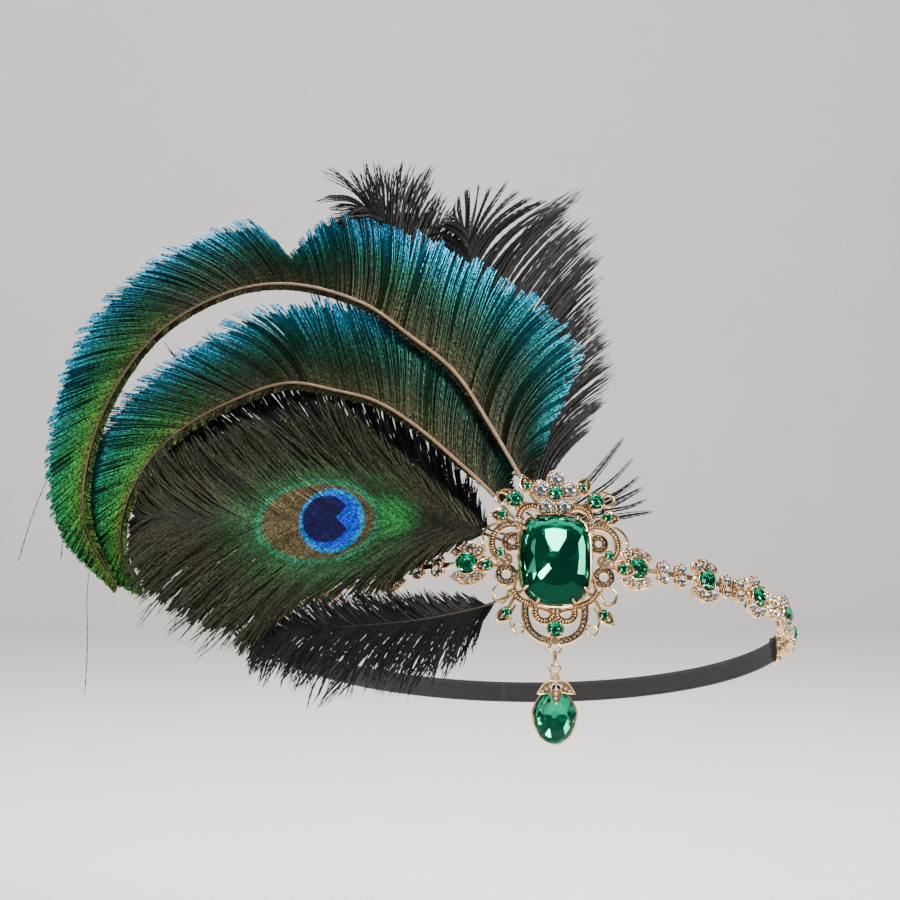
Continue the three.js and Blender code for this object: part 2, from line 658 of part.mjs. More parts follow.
function dropSetting() {
  const pocket = (gap) => pearOutline(dropWidth + 2 * gap, dropHeight + 2 * gap);
  const wall = block(pocket(dropWall + clearance), 16, 0, dropWall + clearance + dropBackHeight);
  const hollow = block(pocket(clearance), 16, dropWall, 2 * dropFront);
  const capZ = dropFront + clearance;
  const cap = [-capSpread, 0, capSpread].map((tilt) => {
    const petal = block(pearOutline(capWidth, capLength), 10, capZ, capZ + capThickness);
    petal.rotateZ(Math.PI).translate(0, -0.37 * capLength, 0).rotateZ(radians(tilt));
    return petal.translate(0, dropHeight / 2 + clearance + dropWall, 0);
  });
  const neckFoot = dropHeight / 2 + clearance;
  const neck = new THREE.BoxGeometry(neckWidth, neckHeight - clearance, capZ + capThickness);
  neck.translate(0, neckFoot + (neckHeight - clearance) / 2, (capZ + capThickness) / 2);
  const eye = ring(dropRingRadius).translate(0, dropRingMiddle - stoneMiddle, dropRingDepth);
  return cut(fuse([wall]), [hollow]).add(fuse([neck, eye, ...cap]));
}

function dropStone() {
  return gem(pearOutline(dropWidth, dropHeight), 16, {
    back: dropWall + clearance,
    girdle: dropWall + clearance + dropBackHeight,
    table: dropFront,
    backScale: 0.8,
  });
}

// Assembly
const headband = new THREE.Group();

function addMesh(parent, name, geometry, material) {
  const mesh = new THREE.Mesh(geometry, materials[material]);
  mesh.name = name;
  parent.add(mesh);
}

const loop = new THREE.Group();
loop.rotation.set(-radians(loopTilt), radians(loopRoll), 0, "YXZ");
headband.add(loop);

const brooch = new THREE.Group();
brooch.rotation.x = Math.PI / 2;
brooch.position.set(0, -broochBack, -broochDrop);
loop.add(brooch);
addMesh(brooch, "brooch_frame", geometryFrom(broochFrame()), "gold");
addMesh(brooch, "main_stone", mainStone(), "emerald");
for (const [name, seat] of Object.entries(stoneSeats)) {
  addMesh(brooch, `stone_${name}`, seatedStone(seat), seat[3]);
}

addMesh(loop, "chain_right", geometryFrom(chain(1)), "gold");
addMesh(loop, "chain_left", geometryFrom(chain(-1)), "gold");
addMesh(loop, "elastic_band", geometryFrom(elastic()), "elastic");
for (const [name, table] of Object.entries(feathers)) {
  addMesh(loop, name, feather(table), table.colour);
}

loop.updateMatrixWorld(true);
const hangPoint = new THREE.Vector3(0, eyeY - eyeRadius, eyeZ).applyMatrix4(brooch.matrixWorld);
const drop = new THREE.Group();
drop.position.copy(hangPoint);
headband.add(drop);
addMesh(drop, "drop_link", dropLink(), "gold");
const pendant = new THREE.Group();
pendant.rotation.x = Math.PI / 2;
pendant.position.set(0, dropRingDepth, stoneMiddle);
drop.add(pendant);
addMesh(pendant, "drop_setting", geometryFrom(dropSetting()), "gold");
addMesh(pendant, "drop_stone", dropStone(), "emerald");

export default headband;
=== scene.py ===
# Flapper headband: a fan of feathers behind a jewelled brooch, on stone chains and an elastic
import math
import bpy
import bmesh
import numpy as np
from mathutils import Matrix, Vector


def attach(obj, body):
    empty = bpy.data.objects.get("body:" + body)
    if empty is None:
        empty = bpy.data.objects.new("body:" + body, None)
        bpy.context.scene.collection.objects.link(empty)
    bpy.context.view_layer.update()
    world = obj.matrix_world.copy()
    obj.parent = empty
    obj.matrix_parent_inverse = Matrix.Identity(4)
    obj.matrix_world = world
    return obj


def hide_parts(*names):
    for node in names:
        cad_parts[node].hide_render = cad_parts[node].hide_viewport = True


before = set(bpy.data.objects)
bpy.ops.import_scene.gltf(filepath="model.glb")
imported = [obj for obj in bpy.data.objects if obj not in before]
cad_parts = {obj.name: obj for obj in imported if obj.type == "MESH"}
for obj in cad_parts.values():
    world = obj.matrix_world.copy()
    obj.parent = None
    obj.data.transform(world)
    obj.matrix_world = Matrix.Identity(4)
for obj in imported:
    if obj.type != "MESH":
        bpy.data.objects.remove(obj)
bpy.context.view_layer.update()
mm = 0.001

# How the loop sits on the head, and how far its pieces stand off it
wear = {
    "headRadius": 92 * mm,
    "loopRise": 19 * mm,
    "loopTilt": 19,
    "loopRoll": 2,
    "broochStand": 5.5 * mm,
    "broochDrop": 0.8 * mm,
    "chainStand": 0.8 * mm,
}
loopRadius = math.sqrt(wear["headRadius"] ** 2 - wear["loopRise"] ** 2)
broochBack = loopRadius + wear["broochStand"]
chainBack = loopRadius + wear["chainStand"]
quarterTurn = Matrix.Rotation(math.radians(90), 4, "X")
loopPlace = (Matrix.Rotation(math.radians(wear["loopRoll"]), 4, "Y")
             @ Matrix.Rotation(math.radians(-wear["loopTilt"]), 4, "X"))
broochPlace = loopPlace @ Matrix.Translation((0, -broochBack, -wear["broochDrop"])) @ quarterTurn


# General modelling helpers
def selectOnly(*objects):
    bpy.ops.object.select_all(action="DESELECT")
    for obj in objects:
        obj.select_set(True)
    bpy.context.view_layer.objects.active = objects[0]


def startFresh():
    bpy.ops.object.select_all(action="DESELECT")


def addObject(name, data):
    obj = bpy.data.objects.new(name, data)
    bpy.context.collection.objects.link(obj)
    return obj


def smoothBelow(obj, degrees):
    selectOnly(obj)
    bpy.ops.object.shade_smooth_by_angle(angle=math.radians(degrees))
    return obj


def meshFromArrays(name, points, faces):
    mesh = bpy.data.meshes.new(name)
    mesh.vertices.add(len(points))
    mesh.vertices.foreach_set("co", np.asarray(points, np.float32).ravel())
    sides = faces.shape[1]
    mesh.loops.add(faces.size)
    mesh.loops.foreach_set("vertex_index", faces.ravel())
    mesh.polygons.add(len(faces))
    mesh.polygons.foreach_set("loop_start", np.arange(0, faces.size, sides))
    mesh.polygons.foreach_set("loop_total", np.full(len(faces), sides))
    mesh.update(calc_edges=True)
    return addObject(name, mesh)


# A copy of the template at each place, all in one mesh
def stamp(name, template, places):
    mesh = template.data
    base = np.empty(len(mesh.vertices) * 3)
    mesh.vertices.foreach_get("co", base)
    base = base.reshape(-1, 3)
    faces = [tuple(polygon.vertices) for polygon in mesh.polygons]
    smooth = [polygon.use_smooth for polygon in mesh.polygons]
    slots = [polygon.material_index for polygon in mesh.polygons]
    points, allFaces = [], []
    for i, place in enumerate(places):
        m = np.array(place)
        points.append(base @ m[:3, :3].T + m[:3, 3])
        shift = i * len(base)
        allFaces += [tuple(v + shift for v in face) for face in faces]
    made = bpy.data.meshes.new(name)
    made.from_pydata(np.vstack(points).tolist(), [], allFaces)
    made.polygons.foreach_set("use_smooth", smooth * len(places))
    made.polygons.foreach_set("material_index", slots * len(places))
    for material in mesh.materials:
        made.materials.append(material)
    return addObject(name, made)


def moved(obj, x, y, z=0):
    obj.data.transform(Matrix.Translation((x, y, z)))
    return obj


def discard(*objects):
    for obj in objects:
        bpy.data.objects.remove(obj)


def joinAll(name, objects):
    selectOnly(*objects)
    bpy.ops.object.join()
    obj = bpy.context.object
    obj.name = obj.data.name = name
    return obj


def applyPlace(obj, place=None):
    if place is not None:
        obj.data.transform(place)
    selectOnly(obj)
    bpy.ops.object.transform_apply(location=True, rotation=True, scale=True)
    return obj


def setMaterial(obj, *materials):
    obj.data.materials.clear()
    for material in materials:
        obj.data.materials.append(material)
    return obj


def onBody(obj, body, slot, *nodes):
    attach(obj, body)
    if nodes:
        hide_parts(*nodes)
    return obj


def pickFaces(obj, test):
    bpy.ops.mesh.select_all(action="DESELECT")
    shape = bmesh.from_edit_mesh(obj.data)
    for face in shape.faces:
        face.select_set(bool(test(face)))
    bmesh.update_edit_mesh(obj.data)


# A smooth path through the points: even places along it, directions, and its length
def smoothPath(points, count=900):
    p = np.array(points, float)
    p = np.vstack([2 * p[0] - p[1], p, 2 * p[-1] - p[-2]])
    knots = np.concatenate([[0], np.cumsum(np.linalg.norm(np.diff(p, axis=0), axis=1) ** 0.5)])
    spans = []
    for i in range(1, len(p) - 2):
        t = np.linspace(knots[i], knots[i + 1], 80, endpoint=False)[:, None]

        def between(a, b, start, end):
            return ((end - t) * a + (t - start) * b) / (end - start)

        first = between(p[i - 1], p[i], knots[i - 1], knots[i])
        middle = between(p[i], p[i + 1], knots[i], knots[i + 1])
        last = between(p[i + 1], p[i + 2], knots[i + 1], knots[i + 2])
        low = between(first, middle, knots[i - 1], knots[i + 1])
        high = between(middle, last, knots[i], knots[i + 2])
        spans.append(between(low, high, knots[i], knots[i + 1]))
    dense = np.vstack(spans + [p[-2:-1]])
    run = np.concatenate([[0], np.cumsum(np.linalg.norm(np.diff(dense, axis=0), axis=1))])
    shares = np.linspace(0, 1, count)
    even = np.stack([np.interp(shares * run[-1], run, dense[:, k]) for k in range(p.shape[1])], 1)
    return even, unit(np.gradient(even, axis=0)), run[-1]


def readPath(values, share):
    place = np.clip(np.asarray(share), 0, 1) * (len(values) - 1)
    low = np.minimum(place.astype(int), len(values) - 2)
    rest = (place - low)[..., None]
    return values[low] * (1 - rest) + values[low + 1] * rest


def unit(vectors):
    return vectors / (np.linalg.norm(vectors, axis=-1, keepdims=True) + 1e-12)


def readTable(rows, share, column):
    rows = np.array(rows, float)
    return np.interp(share, rows[:, 0], rows[:, column])


# Materials
def setInputs(made, **values):
    for key, value in values.items():
        made.inputs[key.replace("_", " ")].default_value = value


def newMaterial(name, **sockets):
    material = bpy.data.materials.new(name)
    material.use_nodes = True
    shader = material.node_tree.nodes["Principled BSDF"]
    setInputs(shader, **sockets)
    return material, material.node_tree, shader


def node(tree, kind, **values):
    made = tree.nodes.new(kind)
    for key, value in values.items():
        setattr(made, key, value)
    return made


def calc(tree, operation, *inputs):
    made = node(tree, "ShaderNodeMath", operation=operation)
    for i, value in enumerate(inputs):
        if isinstance(value, (int, float)):
            made.inputs[i].default_value = value
        else:
            tree.links.new(value, made.inputs[i])
    return made.outputs[0]


def ramp(tree, value, stops):
    made = node(tree, "ShaderNodeValToRGB")
    band = made.color_ramp
    while len(band.elements) < len(stops):
        band.elements.new(0.5)
    for element, (place, colour) in zip(band.elements, stops):
        element.position = place
        element.color = (*colour, 1)
    tree.links.new(value, made.inputs[0])
    return made.outputs[0]


def mixColour(tree, share, low, high, blend="MIX"):
    made = node(tree, "ShaderNodeMix", data_type="RGBA", blend_type=blend)
    for i, value in ((0, share), (6, low), (7, high)):
        if isinstance(value, (int, float)):
            made.inputs[i].default_value = value
        elif isinstance(value, tuple):
            made.inputs[i].default_value = (*value, 1)
        else:
            tree.links.new(value, made.inputs[i])
    return made.outputs[2]


# Shared effect: fine grain over a surface, as a mask and as a normal
def makeGrain():
    group = bpy.data.node_groups.new("grain", "ShaderNodeTree")
    for name, start in (("Scale", 900.0), ("Depth", 0.3)):
        socket = group.interface.new_socket(name=name, in_out="INPUT", socket_type="NodeSocketFloat")
        socket.default_value = start
    group.interface.new_socket(name="Mask", in_out="OUTPUT", socket_type="NodeSocketFloat")
    group.interface.new_socket(name="Normal", in_out="OUTPUT", socket_type="NodeSocketVector")
    inside = node(group, "NodeGroupInput")
    outside = node(group, "NodeGroupOutput")
    place = node(group, "ShaderNodeTexCoord")
    noise = node(group, "ShaderNodeTexNoise")
    setInputs(noise, Detail=3)
    bump = node(group, "ShaderNodeBump")
    setInputs(bump, Distance=0.2 * mm)
    group.links.new(place.outputs["Object"], noise.inputs["Vector"])
    group.links.new(inside.outputs["Scale"], noise.inputs["Scale"])
    group.links.new(inside.outputs["Depth"], bump.inputs["Strength"])
    group.links.new(noise.outputs["Fac"], bump.inputs["Height"])
    group.links.new(noise.outputs["Fac"], outside.inputs["Mask"])
    group.links.new(bump.outputs["Normal"], outside.inputs["Normal"])
    return group


grain = makeGrain()


def addGrain(tree, scale, depth):
    made = node(tree, "ShaderNodeGroup", node_tree=grain)
    setInputs(made, Scale=scale, Depth=depth)
    return made


# The colour and the grain's normal go to the surface
def finish(tree, shader, colour, marks):
    tree.links.new(colour, shader.inputs["Base Color"])
    tree.links.new(marks.outputs["Normal"], shader.inputs["Normal"])


def makeGold(name, bright, deep):
    look = {"polish": 0.12, "dull": 0.26, "grain": 420, "depth": 0.12}
    material, tree, shader = newMaterial(name, Metallic=1.0)
    marks = addGrain(tree, look["grain"], look["depth"])
    cloud = ramp(tree, marks.outputs["Mask"], [(0.35, (0, 0, 0)), (0.62, (1, 1, 1))])
    finish(tree, shader, mixColour(tree, cloud, deep, bright), marks)
    spread = node(tree, "ShaderNodeMapRange")
    setInputs(spread, To_Min=look["dull"], To_Max=look["polish"])
    tree.links.new(marks.outputs["Mask"], spread.inputs["Value"])
    tree.links.new(spread.outputs[0], shader.inputs["Roughness"])
    return material


# Glass: the shine tints what the faces mirror, as a foiled stone does
def makeGlass(name, tint, shine=(1, 1, 1)):
    look = {"Roughness": 0.0, "IOR": 1.42, "Transmission_Weight": 1.0}
    return newMaterial(name, Base_Color=(*tint, 1), Specular_Tint=(*shine, 1), **look)[0]


def makeFoil(name, colour, dark):
    material, tree, shader = newMaterial(name, Metallic=1.0, Roughness=0.05)
    marks = addGrain(tree, 160, 0.04)
    finish(tree, shader, mixColour(tree, marks.outputs["Mask"], dark, colour), marks)
    return material


gold = makeGold("goldPlate", (0.90, 0.64, 0.36), (0.55, 0.33, 0.15))
# A darker copy of the gold for the channels' valleys and the leaves' recesses: painted shade where shade
# falls
goldPaintedShade = makeGold("goldPaintedChannelShade", (0.30, 0.17, 0.07), (0.12, 0.06, 0.02))
emeraldGlass = makeGlass("emeraldGlass", (0.004, 0.36, 0.22), (0.12, 0.85, 0.5))
emeraldFoil = makeFoil("emeraldFoil", (0.70, 0.98, 0.88), (0.25, 0.60, 0.48))
crystalGlass = makeGlass("crystalGlass", (0.98, 0.99, 1.0))
crystalFoil = makeFoil("crystalFoil", (0.98, 0.98, 1.0), (0.55, 0.57, 0.60))
print("metals and glass ready")


# Feathers
fan = {
    "radius": 300 * mm,
    "leanUp": 4,
    "leanDown": 10,
    "firstLayer": 1.6 * mm,
    "layerSpacing": 2.6 * mm,
    "quillSeat": 1.3 * mm,
    "rootLength": 14 * mm,
    "quillTip": 0.16 * mm,
    "halfWide": 12.2 * mm,
    "halfHigh": 15.9 * mm,
}


# How far back a feather's curved sheet lies at a place
def sheetDepth(x, z, layer):
    lean = np.where(z > 0, math.tan(math.radians(fan["leanUp"])), math.tan(math.radians(fan["leanDown"])))
    layers = fan["firstLayer"] + layer * fan["layerSpacing"]
    return -broochBack + layers + x ** 2 / (2 * fan["radius"]) + np.abs(z) * lean


def toWorld(points):
    m = np.array(loopPlace)[:3, :3]
    return points @ m.T


# Ribbons along the given lines (a row of points each), with a ridge down the middle and
# edges that go in and out like beads
def ribbons(name, lines, widths, twist, shares, tones, grown, eyePlace=None):
    count, steps, _ = lines.shape
    along = unit(np.gradient(lines, axis=1))
    across = unit(np.cross(along, [0, -1, 0]))
    up = np.cross(across, along)
    turn = twist[:, None, None] if twist.ndim == 1 else twist[:, :, None]
    side = across * np.cos(turn) + up * np.sin(turn)
    ridge = up * np.cos(turn) - across * np.sin(turn)
    half = widths[:, :, None] / 2
    points = np.stack([lines - side * half, lines + ridge * half * 0.5, lines + side * half], axis=2)
    index = np.arange(count * steps * 3).reshape(count, steps, 3)
    quads = []
    for lane in (0, 1):
        quads.append(np.stack([index[:, :-1, lane], index[:, :-1, lane + 1],
                               index[:, 1:, lane + 1], index[:, 1:, lane]], axis=-1).reshape(-1, 4))
    faces = np.vstack(quads)
    obj = meshFromArrays(name, toWorld(points.reshape(-1, 3)), faces)
    u = np.linspace(0, 1, steps)[None, :, None] * grown[:, None, None] * np.ones((1, 1, 3))
    v = np.broadcast_to(shares[:, None, None], (count, steps, 3))
    barbMap = np.stack([u, v], -1).reshape(-1, 2)[faces.ravel()]
    layer = obj.data.uv_layers.new(name="barbMap")
    layer.data.foreach_set("uv", barbMap.astype(np.float32).ravel())
    if eyePlace is not None:
        flat = (points[..., [0, 2]].reshape(-1, 2) - np.array(eyePlace)) / (10 * mm)
        layer = obj.data.uv_layers.new(name="eyeMap")
        layer.data.foreach_set("uv", flat[faces.ravel()].astype(np.float32).ravel())
    tone = obj.data.attributes.new("tone", "FLOAT", "POINT")
    tone.data.foreach_set("value", np.repeat(tones, steps * 3).astype(np.float32))
    return obj


# Sizes of clumps that barbs gather in: the clump's number for each barb
def gather(count, smallest, largest, random):
    numbers = np.zeros(count, int)
    place = number = 0
    while place < count:
        size = random.integers(smallest, largest + 1)
        numbers[place:place + size] = number
        place += size
        number += 1
    return numbers


# The quill's line, its directions and its length, from the seat behind the brooch
def quillLine(feather):
    seat = np.array([feather["seat"][0] * fan["halfWide"],
                     feather["seat"][1] * fan["halfHigh"] - wear["broochDrop"]])
    return smoothPath(seat + np.array(feather["quill"]) * feather["reach"])


# Centre lines of a feather's barbs, in the loop's frame
def barbLines(feather, side, random):
    path, heading, length = quillLine(feather)
    root = fan["rootLength"] / length
    count = int(length * (1 - root) / feather["pitch"])
    share = np.linspace(0, 1, count)
    clump = gather(count, *feather["clump"], random)
    centre = np.array([share[clump == i].mean() for i in range(clump.max() + 1)])[clump]
    clumpLong = random.normal(0, feather["ragged"], clump.max() + 1)[clump]
    clumpDepth = random.normal(0, 1, clump.max() + 1)[clump]
    tipShare = share + (centre - share) * feather["pull"]
    column = 1 if side > 0 else 2
    reach = feather["barb"] * readTable(feather["barbs"], tipShare, column)
    if side > 0:
        reach = reach * feather.get("inner", 1)
    lean = math.radians(feather["sweep"])
    station = root + tipShare * (1 - root)
    middle, along = readPath(path, station), readPath(heading, station)
    left = np.stack([-along[:, 1], along[:, 0]], 1)
    outwards, forwards = (reach * math.cos(lean))[:, None], (reach * math.sin(lean))[:, None]
    tip = middle + side * left * outwards + along * forwards
    back = readTable(feather["lean"], share, 1) * reach / length
    foot = np.clip(root + share * (1 - root) - back, 0.35 * root, 1)
    base, baseAlong = readPath(path, foot), readPath(heading, foot)
    baseLeft = np.stack([-baseAlong[:, 1], baseAlong[:, 0]], 1)
    long = 1 + clumpLong + random.normal(0, feather["ragged"] * 0.4, count)
    tip = base + (tip - base) * long[:, None]
    span = np.linalg.norm(tip - base, axis=1)
    angle = np.radians(readTable(feather["lean"], share, 2))
    knee = base + (baseAlong * np.cos(angle)[:, None]
                   + side * baseLeft * np.sin(angle)[:, None]) * (span * 0.5)[:, None]
    t = np.linspace(0, 1, feather["steps"])[None, :, None]
    flat = (1 - t) ** 2 * base[:, None] + 2 * t * (1 - t) * knee[:, None] + t ** 2 * tip[:, None]
    chord = (tip - base) / (span[:, None] + 1e-9)
    normal = np.stack([-chord[:, 1], chord[:, 0]], 1)[:, None]
    phase = random.uniform(0, 2 * math.pi, count)[:, None, None]
    wave = np.sin(t * feather["waves"] * 2 * math.pi + phase) * t * span[:, None, None] * feather["waviness"]
    flat = flat + normal * wave
    x, z = flat[..., 0], flat[..., 1]
    lift = (clumpDepth[:, None] * 0.35 + random.normal(0, 0.3, count)[:, None]) * feather["fluff"]
    y = sheetDepth(x, z, feather["layer"]) + lift * t[..., 0]
    lines = np.stack([x, y, z], -1)
    keep = span > 1.0 * mm
    tones = np.clip(0.5 + clumpDepth * 0.13 + random.normal(0, 0.16, count), 0, 1)
    grown = np.clip(reach / (0.42 * feather["barb"]), 0.12, 1)
    return lines[keep], (share * (1 - root) + root)[keep], tones[keep], clumpDepth[keep], grown[keep]


# How wide a barb is along its length, with beads
def barbWidths(feather, count):
    steps = feather["steps"]
    t = np.linspace(0, 1, steps)
    profile = np.interp(t, [0, 0.15, 0.7, 0.93, 1], feather["profile"])
    beads = np.where(np.arange(steps) % 2, 1, feather["bead"])
    return np.broadcast_to(profile * beads * feather["width"], (count, steps)).copy()


# The quill: behind the brooch at its root, then on its feather's sheet
def quillPiece(name, feather):
    path, _, length = quillLine(feather)
    shares = np.linspace(0, 1, 90)
    flat = readPath(path, shares)
    inPlace = np.clip(shares * length / fan["rootLength"], 0, 1)
    inPlace = inPlace ** 2 * (3 - 2 * inPlace)
    sheet = sheetDepth(flat[:, 0], flat[:, 1], feather["layer"]) + feather["quillBehind"] * inPlace
    y = (-broochBack + fan["quillSeat"]) * (1 - inPlace) + sheet * inPlace
    lines = np.stack([flat[:, 0], y, flat[:, 1]], 1)
    radius = feather["quillRadius"] * (1 - shares) ** 0.7 + fan["quillTip"]
    sides = 8
    along = unit(np.gradient(lines, axis=0))
    across = unit(np.cross(along, [0, 1, 0]))
    up = np.cross(across, along)
    turns = np.linspace(0, 2 * math.pi, sides, endpoint=False)
    ringed = (lines[:, None] + radius[:, None, None] * (across[:, None] * np.cos(turns)[None, :, None]
              + up[:, None] * np.sin(turns)[None, :, None]))
    index = np.arange(len(lines) * sides).reshape(-1, sides)
    nextOne = np.roll(index, -1, axis=1)
    faces = np.stack([index[:-1], nextOne[:-1], nextOne[1:], index[1:]], -1).reshape(-1, 4)
    obj = meshFromArrays(name, toWorld(ringed.reshape(-1, 3)), faces)
    shape = bmesh.new()
    shape.from_mesh(obj.data)
    bmesh.ops.holes_fill(shape, edges=[edge for edge in shape.edges if edge.is_boundary])
    bmesh.ops.recalc_face_normals(shape, faces=shape.faces)
    shape.to_mesh(obj.data)
    shape.free()
    layer = obj.data.uv_layers.new(name="barbMap")
    place = np.array([[0, shares[loop.vertex_index // sides]] for loop in obj.data.loops], np.float32)
    layer.data.foreach_set("uv", place.ravel())
    for polygon in obj.data.polygons:
        polygon.use_smooth = True
    return obj


# How far out on the barb, how far along the feather, and the barb's own tone
def barbInputs(tree):
    barbMap = node(tree, "ShaderNodeUVMap", uv_map="barbMap")
    split = node(tree, "ShaderNodeSeparateXYZ")
    tree.links.new(barbMap.outputs[0], split.inputs[0])
    tone = node(tree, "ShaderNodeAttribute", attribute_name="tone")
    return split.outputs[0], split.outputs[1], tone.outputs["Fac"]


# Grain and painted glints: bright and dark grains along the barbs, painted in for barbules that catch the
# light
def grainAndPaintedGlints(tree, colour, marks, low, high):
    dots = ramp(tree, marks.outputs["Mask"], [(0.38, (low,) * 3), (0.66, (high,) * 3)])
    return mixColour(tree, 1.0, colour, dots, "MULTIPLY")


# From barb to barb darker or lighter: low and high are (tone, strength)
def toned(tree, colour, tone, low, high):
    shade = ramp(tree, tone, [(place, (strength,) * 3) for place, strength in (low, high)])
    return mixColour(tree, 1.0, colour, shade, "MULTIPLY")


def makeSwordBarbs():
    look = {
        "base": [(0.0, (0.010, 0.010, 0.005)), (0.42, (0.003, 0.007, 0.004)), (0.66, (0.002, 0.022, 0.016)),
                 (0.84, (0.002, 0.085, 0.085)), (1.0, (0.004, 0.16, 0.20))],
        "middle": [(0.0, (0.02, 0.018, 0.006)), (0.32, (0.004, 0.014, 0.006)), (0.58, (0.002, 0.035, 0.025)),
                   (0.78, (0.002, 0.085, 0.12)), (1.0, (0.004, 0.16, 0.30))],
        "tip": [(0.0, (0.05, 0.06, 0.008)), (0.25, (0.015, 0.11, 0.014)), (0.6, (0.003, 0.09, 0.03)),
                (0.85, (0.002, 0.085, 0.055)), (1.0, (0.004, 0.13, 0.12))],
    }
    material, tree, shader = newMaterial("swordBarbs", Roughness=0.36, Metallic=0.85)
    out, along, tone = barbInputs(tree)
    marks = addGrain(tree, 1500, 0.6)
    base, middle, tip = (ramp(tree, out, look[key]) for key in ("base", "middle", "tip"))
    toMiddle = node(tree, "ShaderNodeMapRange")
    toTip = node(tree, "ShaderNodeMapRange")
    for limits, low, high in ((toMiddle, 0.08, 0.34), (toTip, 0.62, 0.86)):
        setInputs(limits, From_Min=low, From_Max=high)
        tree.links.new(along, limits.inputs["Value"])
    colour = mixColour(tree, toMiddle.outputs[0], base, middle)
    colour = mixColour(tree, toTip.outputs[0], colour, tip)
    colour = toned(tree, colour, tone, (0.1, 0.35), (0.85, 1.5))
    finish(tree, shader, grainAndPaintedGlints(tree, colour, marks, 0.15, 2.6), marks)
    return material


def makeEyeBarbs():
    look = {
        "heart": (0.006, 0.004, 0.045), "blue": (0.002, 0.045, 0.5), "rim": (0.0, 0.17, 0.42),
        "bronze": (0.075, 0.056, 0.024), "ring": (0.012, 0.13, 0.06), "halo": (0.016, 0.055, 0.018),
        "glow": (0.02, 0.15, 0.035),
        "loose": [(0.0, (0.010, 0.010, 0.005)), (0.5, (0.022, 0.022, 0.010)), (1.0, (0.018, 0.02, 0.009))],
    }
    material, tree, shader = newMaterial("eyeBarbs", Roughness=0.38, Metallic=0.75)
    out, _, tone = barbInputs(tree)
    marks = addGrain(tree, 1500, 0.5)
    eyeMap = node(tree, "ShaderNodeUVMap", uv_map="eyeMap")
    split = node(tree, "ShaderNodeSeparateXYZ")
    tree.links.new(eyeMap.outputs[0], split.inputs[0])
    x, z = split.outputs[0], split.outputs[1]

    def oval(centreX, centreZ, radiusX, radiusZ):
        dx = calc(tree, "DIVIDE", calc(tree, "SUBTRACT", x, centreX), radiusX)
        dz = calc(tree, "DIVIDE", calc(tree, "SUBTRACT", z, centreZ), radiusZ)
        return calc(tree, "SQRT",
                    calc(tree, "ADD", calc(tree, "MULTIPLY", dx, dx), calc(tree, "MULTIPLY", dz, dz)))

    def inside(distance, edge, softness):
        made = node(tree, "ShaderNodeMapRange", interpolation_type="SMOOTHSTEP")
        setInputs(made, From_Min=edge + softness, From_Max=edge - softness)
        tree.links.new(distance, made.inputs["Value"])
        return made.outputs[0]

    bronzeOval = oval(-0.44, 0.0, 1.85, 1.32)
    loose = ramp(tree, out, look["loose"])
    colour = mixColour(tree, inside(oval(-0.5, -0.1, 3.2, 2.3), 0.85, 0.35), loose, look["halo"])
    colour = mixColour(tree, inside(oval(1.75, 0.1, 1.1, 0.8), 0.7, 0.4), colour, look["glow"])
    colour = mixColour(tree, inside(bronzeOval, 1.08, 0.06), colour, look["ring"])
    colour = mixColour(tree, inside(bronzeOval, 0.97, 0.09), colour, look["bronze"])
    blueOval = oval(0.0, 0.0, 1.0, 1.06)
    colour = mixColour(tree, inside(blueOval, 1.03, 0.04), colour, look["rim"])
    colour = mixColour(tree, inside(blueOval, 0.88, 0.07), colour, look["blue"])
    heart = inside(oval(-0.18, 0.07, 0.74, 0.80), 1.0, 0.05)
    wedge = calc(tree, "SUBTRACT", calc(tree, "MULTIPLY", calc(tree, "SUBTRACT", x, 0.12), 1.05),
                 calc(tree, "ABSOLUTE", calc(tree, "SUBTRACT", z, 0.12)))
    heart = calc(tree, "MULTIPLY", heart, calc(tree, "LESS_THAN", wedge, 0.0))
    colour = mixColour(tree, heart, colour, look["heart"])
    colour = toned(tree, colour, tone, (0.1, 0.45), (0.85, 1.5))
    finish(tree, shader, grainAndPaintedGlints(tree, colour, marks, 0.4, 2.0), marks)
    return material


def makePlumeBarbs():
    look = {"base": [(0.0, (0.001, 0.001, 0.001)), (0.6, (0.002, 0.002, 0.002)),
                     (1.0, (0.008, 0.008, 0.009))],
            "shade": [(0.2, (0.4, 0.4, 0.4)), (0.9, (2.6, 2.6, 2.7))]}
    material, tree, shader = newMaterial("plumeBarbs", Roughness=0.42, Specular_IOR_Level=0.14)
    out, _, tone = barbInputs(tree)
    marks = addGrain(tree, 1100, 0.5)
    colour = mixColour(tree, 1.0, ramp(tree, out, look["base"]), ramp(tree, tone, look["shade"]), "MULTIPLY")
    finish(tree, shader, grainAndPaintedGlints(tree, colour, marks, 0.4, 2.2), marks)
    return material


# The look of the painted-shade layer: dark and matt, it shows as shade between the barbs
def makePaintedShade(name, stops):
    material, tree, shader = newMaterial(name, Roughness=0.9, Specular_IOR_Level=0.0)
    out, _, tone = barbInputs(tree)
    marks = addGrain(tree, 1300, 0.4)
    colour = toned(tree, ramp(tree, out, stops), tone, (0.1, 0.5), (0.85, 1.4))
    tree.links.new(grainAndPaintedGlints(tree, colour, marks, 0.6, 1.5), shader.inputs["Base Color"])
    return material


def makeQuillHorn(name, stops):
    material, tree, shader = newMaterial(name, Roughness=0.35)
    _, along, _ = barbInputs(tree)
    marks = addGrain(tree, 600, 0.2)
    colour = ramp(tree, along, stops)
    finish(tree, shader, grainAndPaintedGlints(tree, colour, marks, 0.75, 1.2), marks)
    return material


quillHorn = makeQuillHorn("quillHorn", [(0.0, (0.26, 0.161, 0.093)), (0.35, (0.211, 0.124, 0.0682)),
                                        (0.62, (0.062, 0.0372, 0.0186)), (1.0, (0.0124, 0.0155, 0.0062))])
quillDark = makeQuillHorn("quillDark", [(0.0, (0.05, 0.035, 0.022)), (0.4, (0.014, 0.011, 0.008)),
                                        (1.0, (0.006, 0.006, 0.005))])

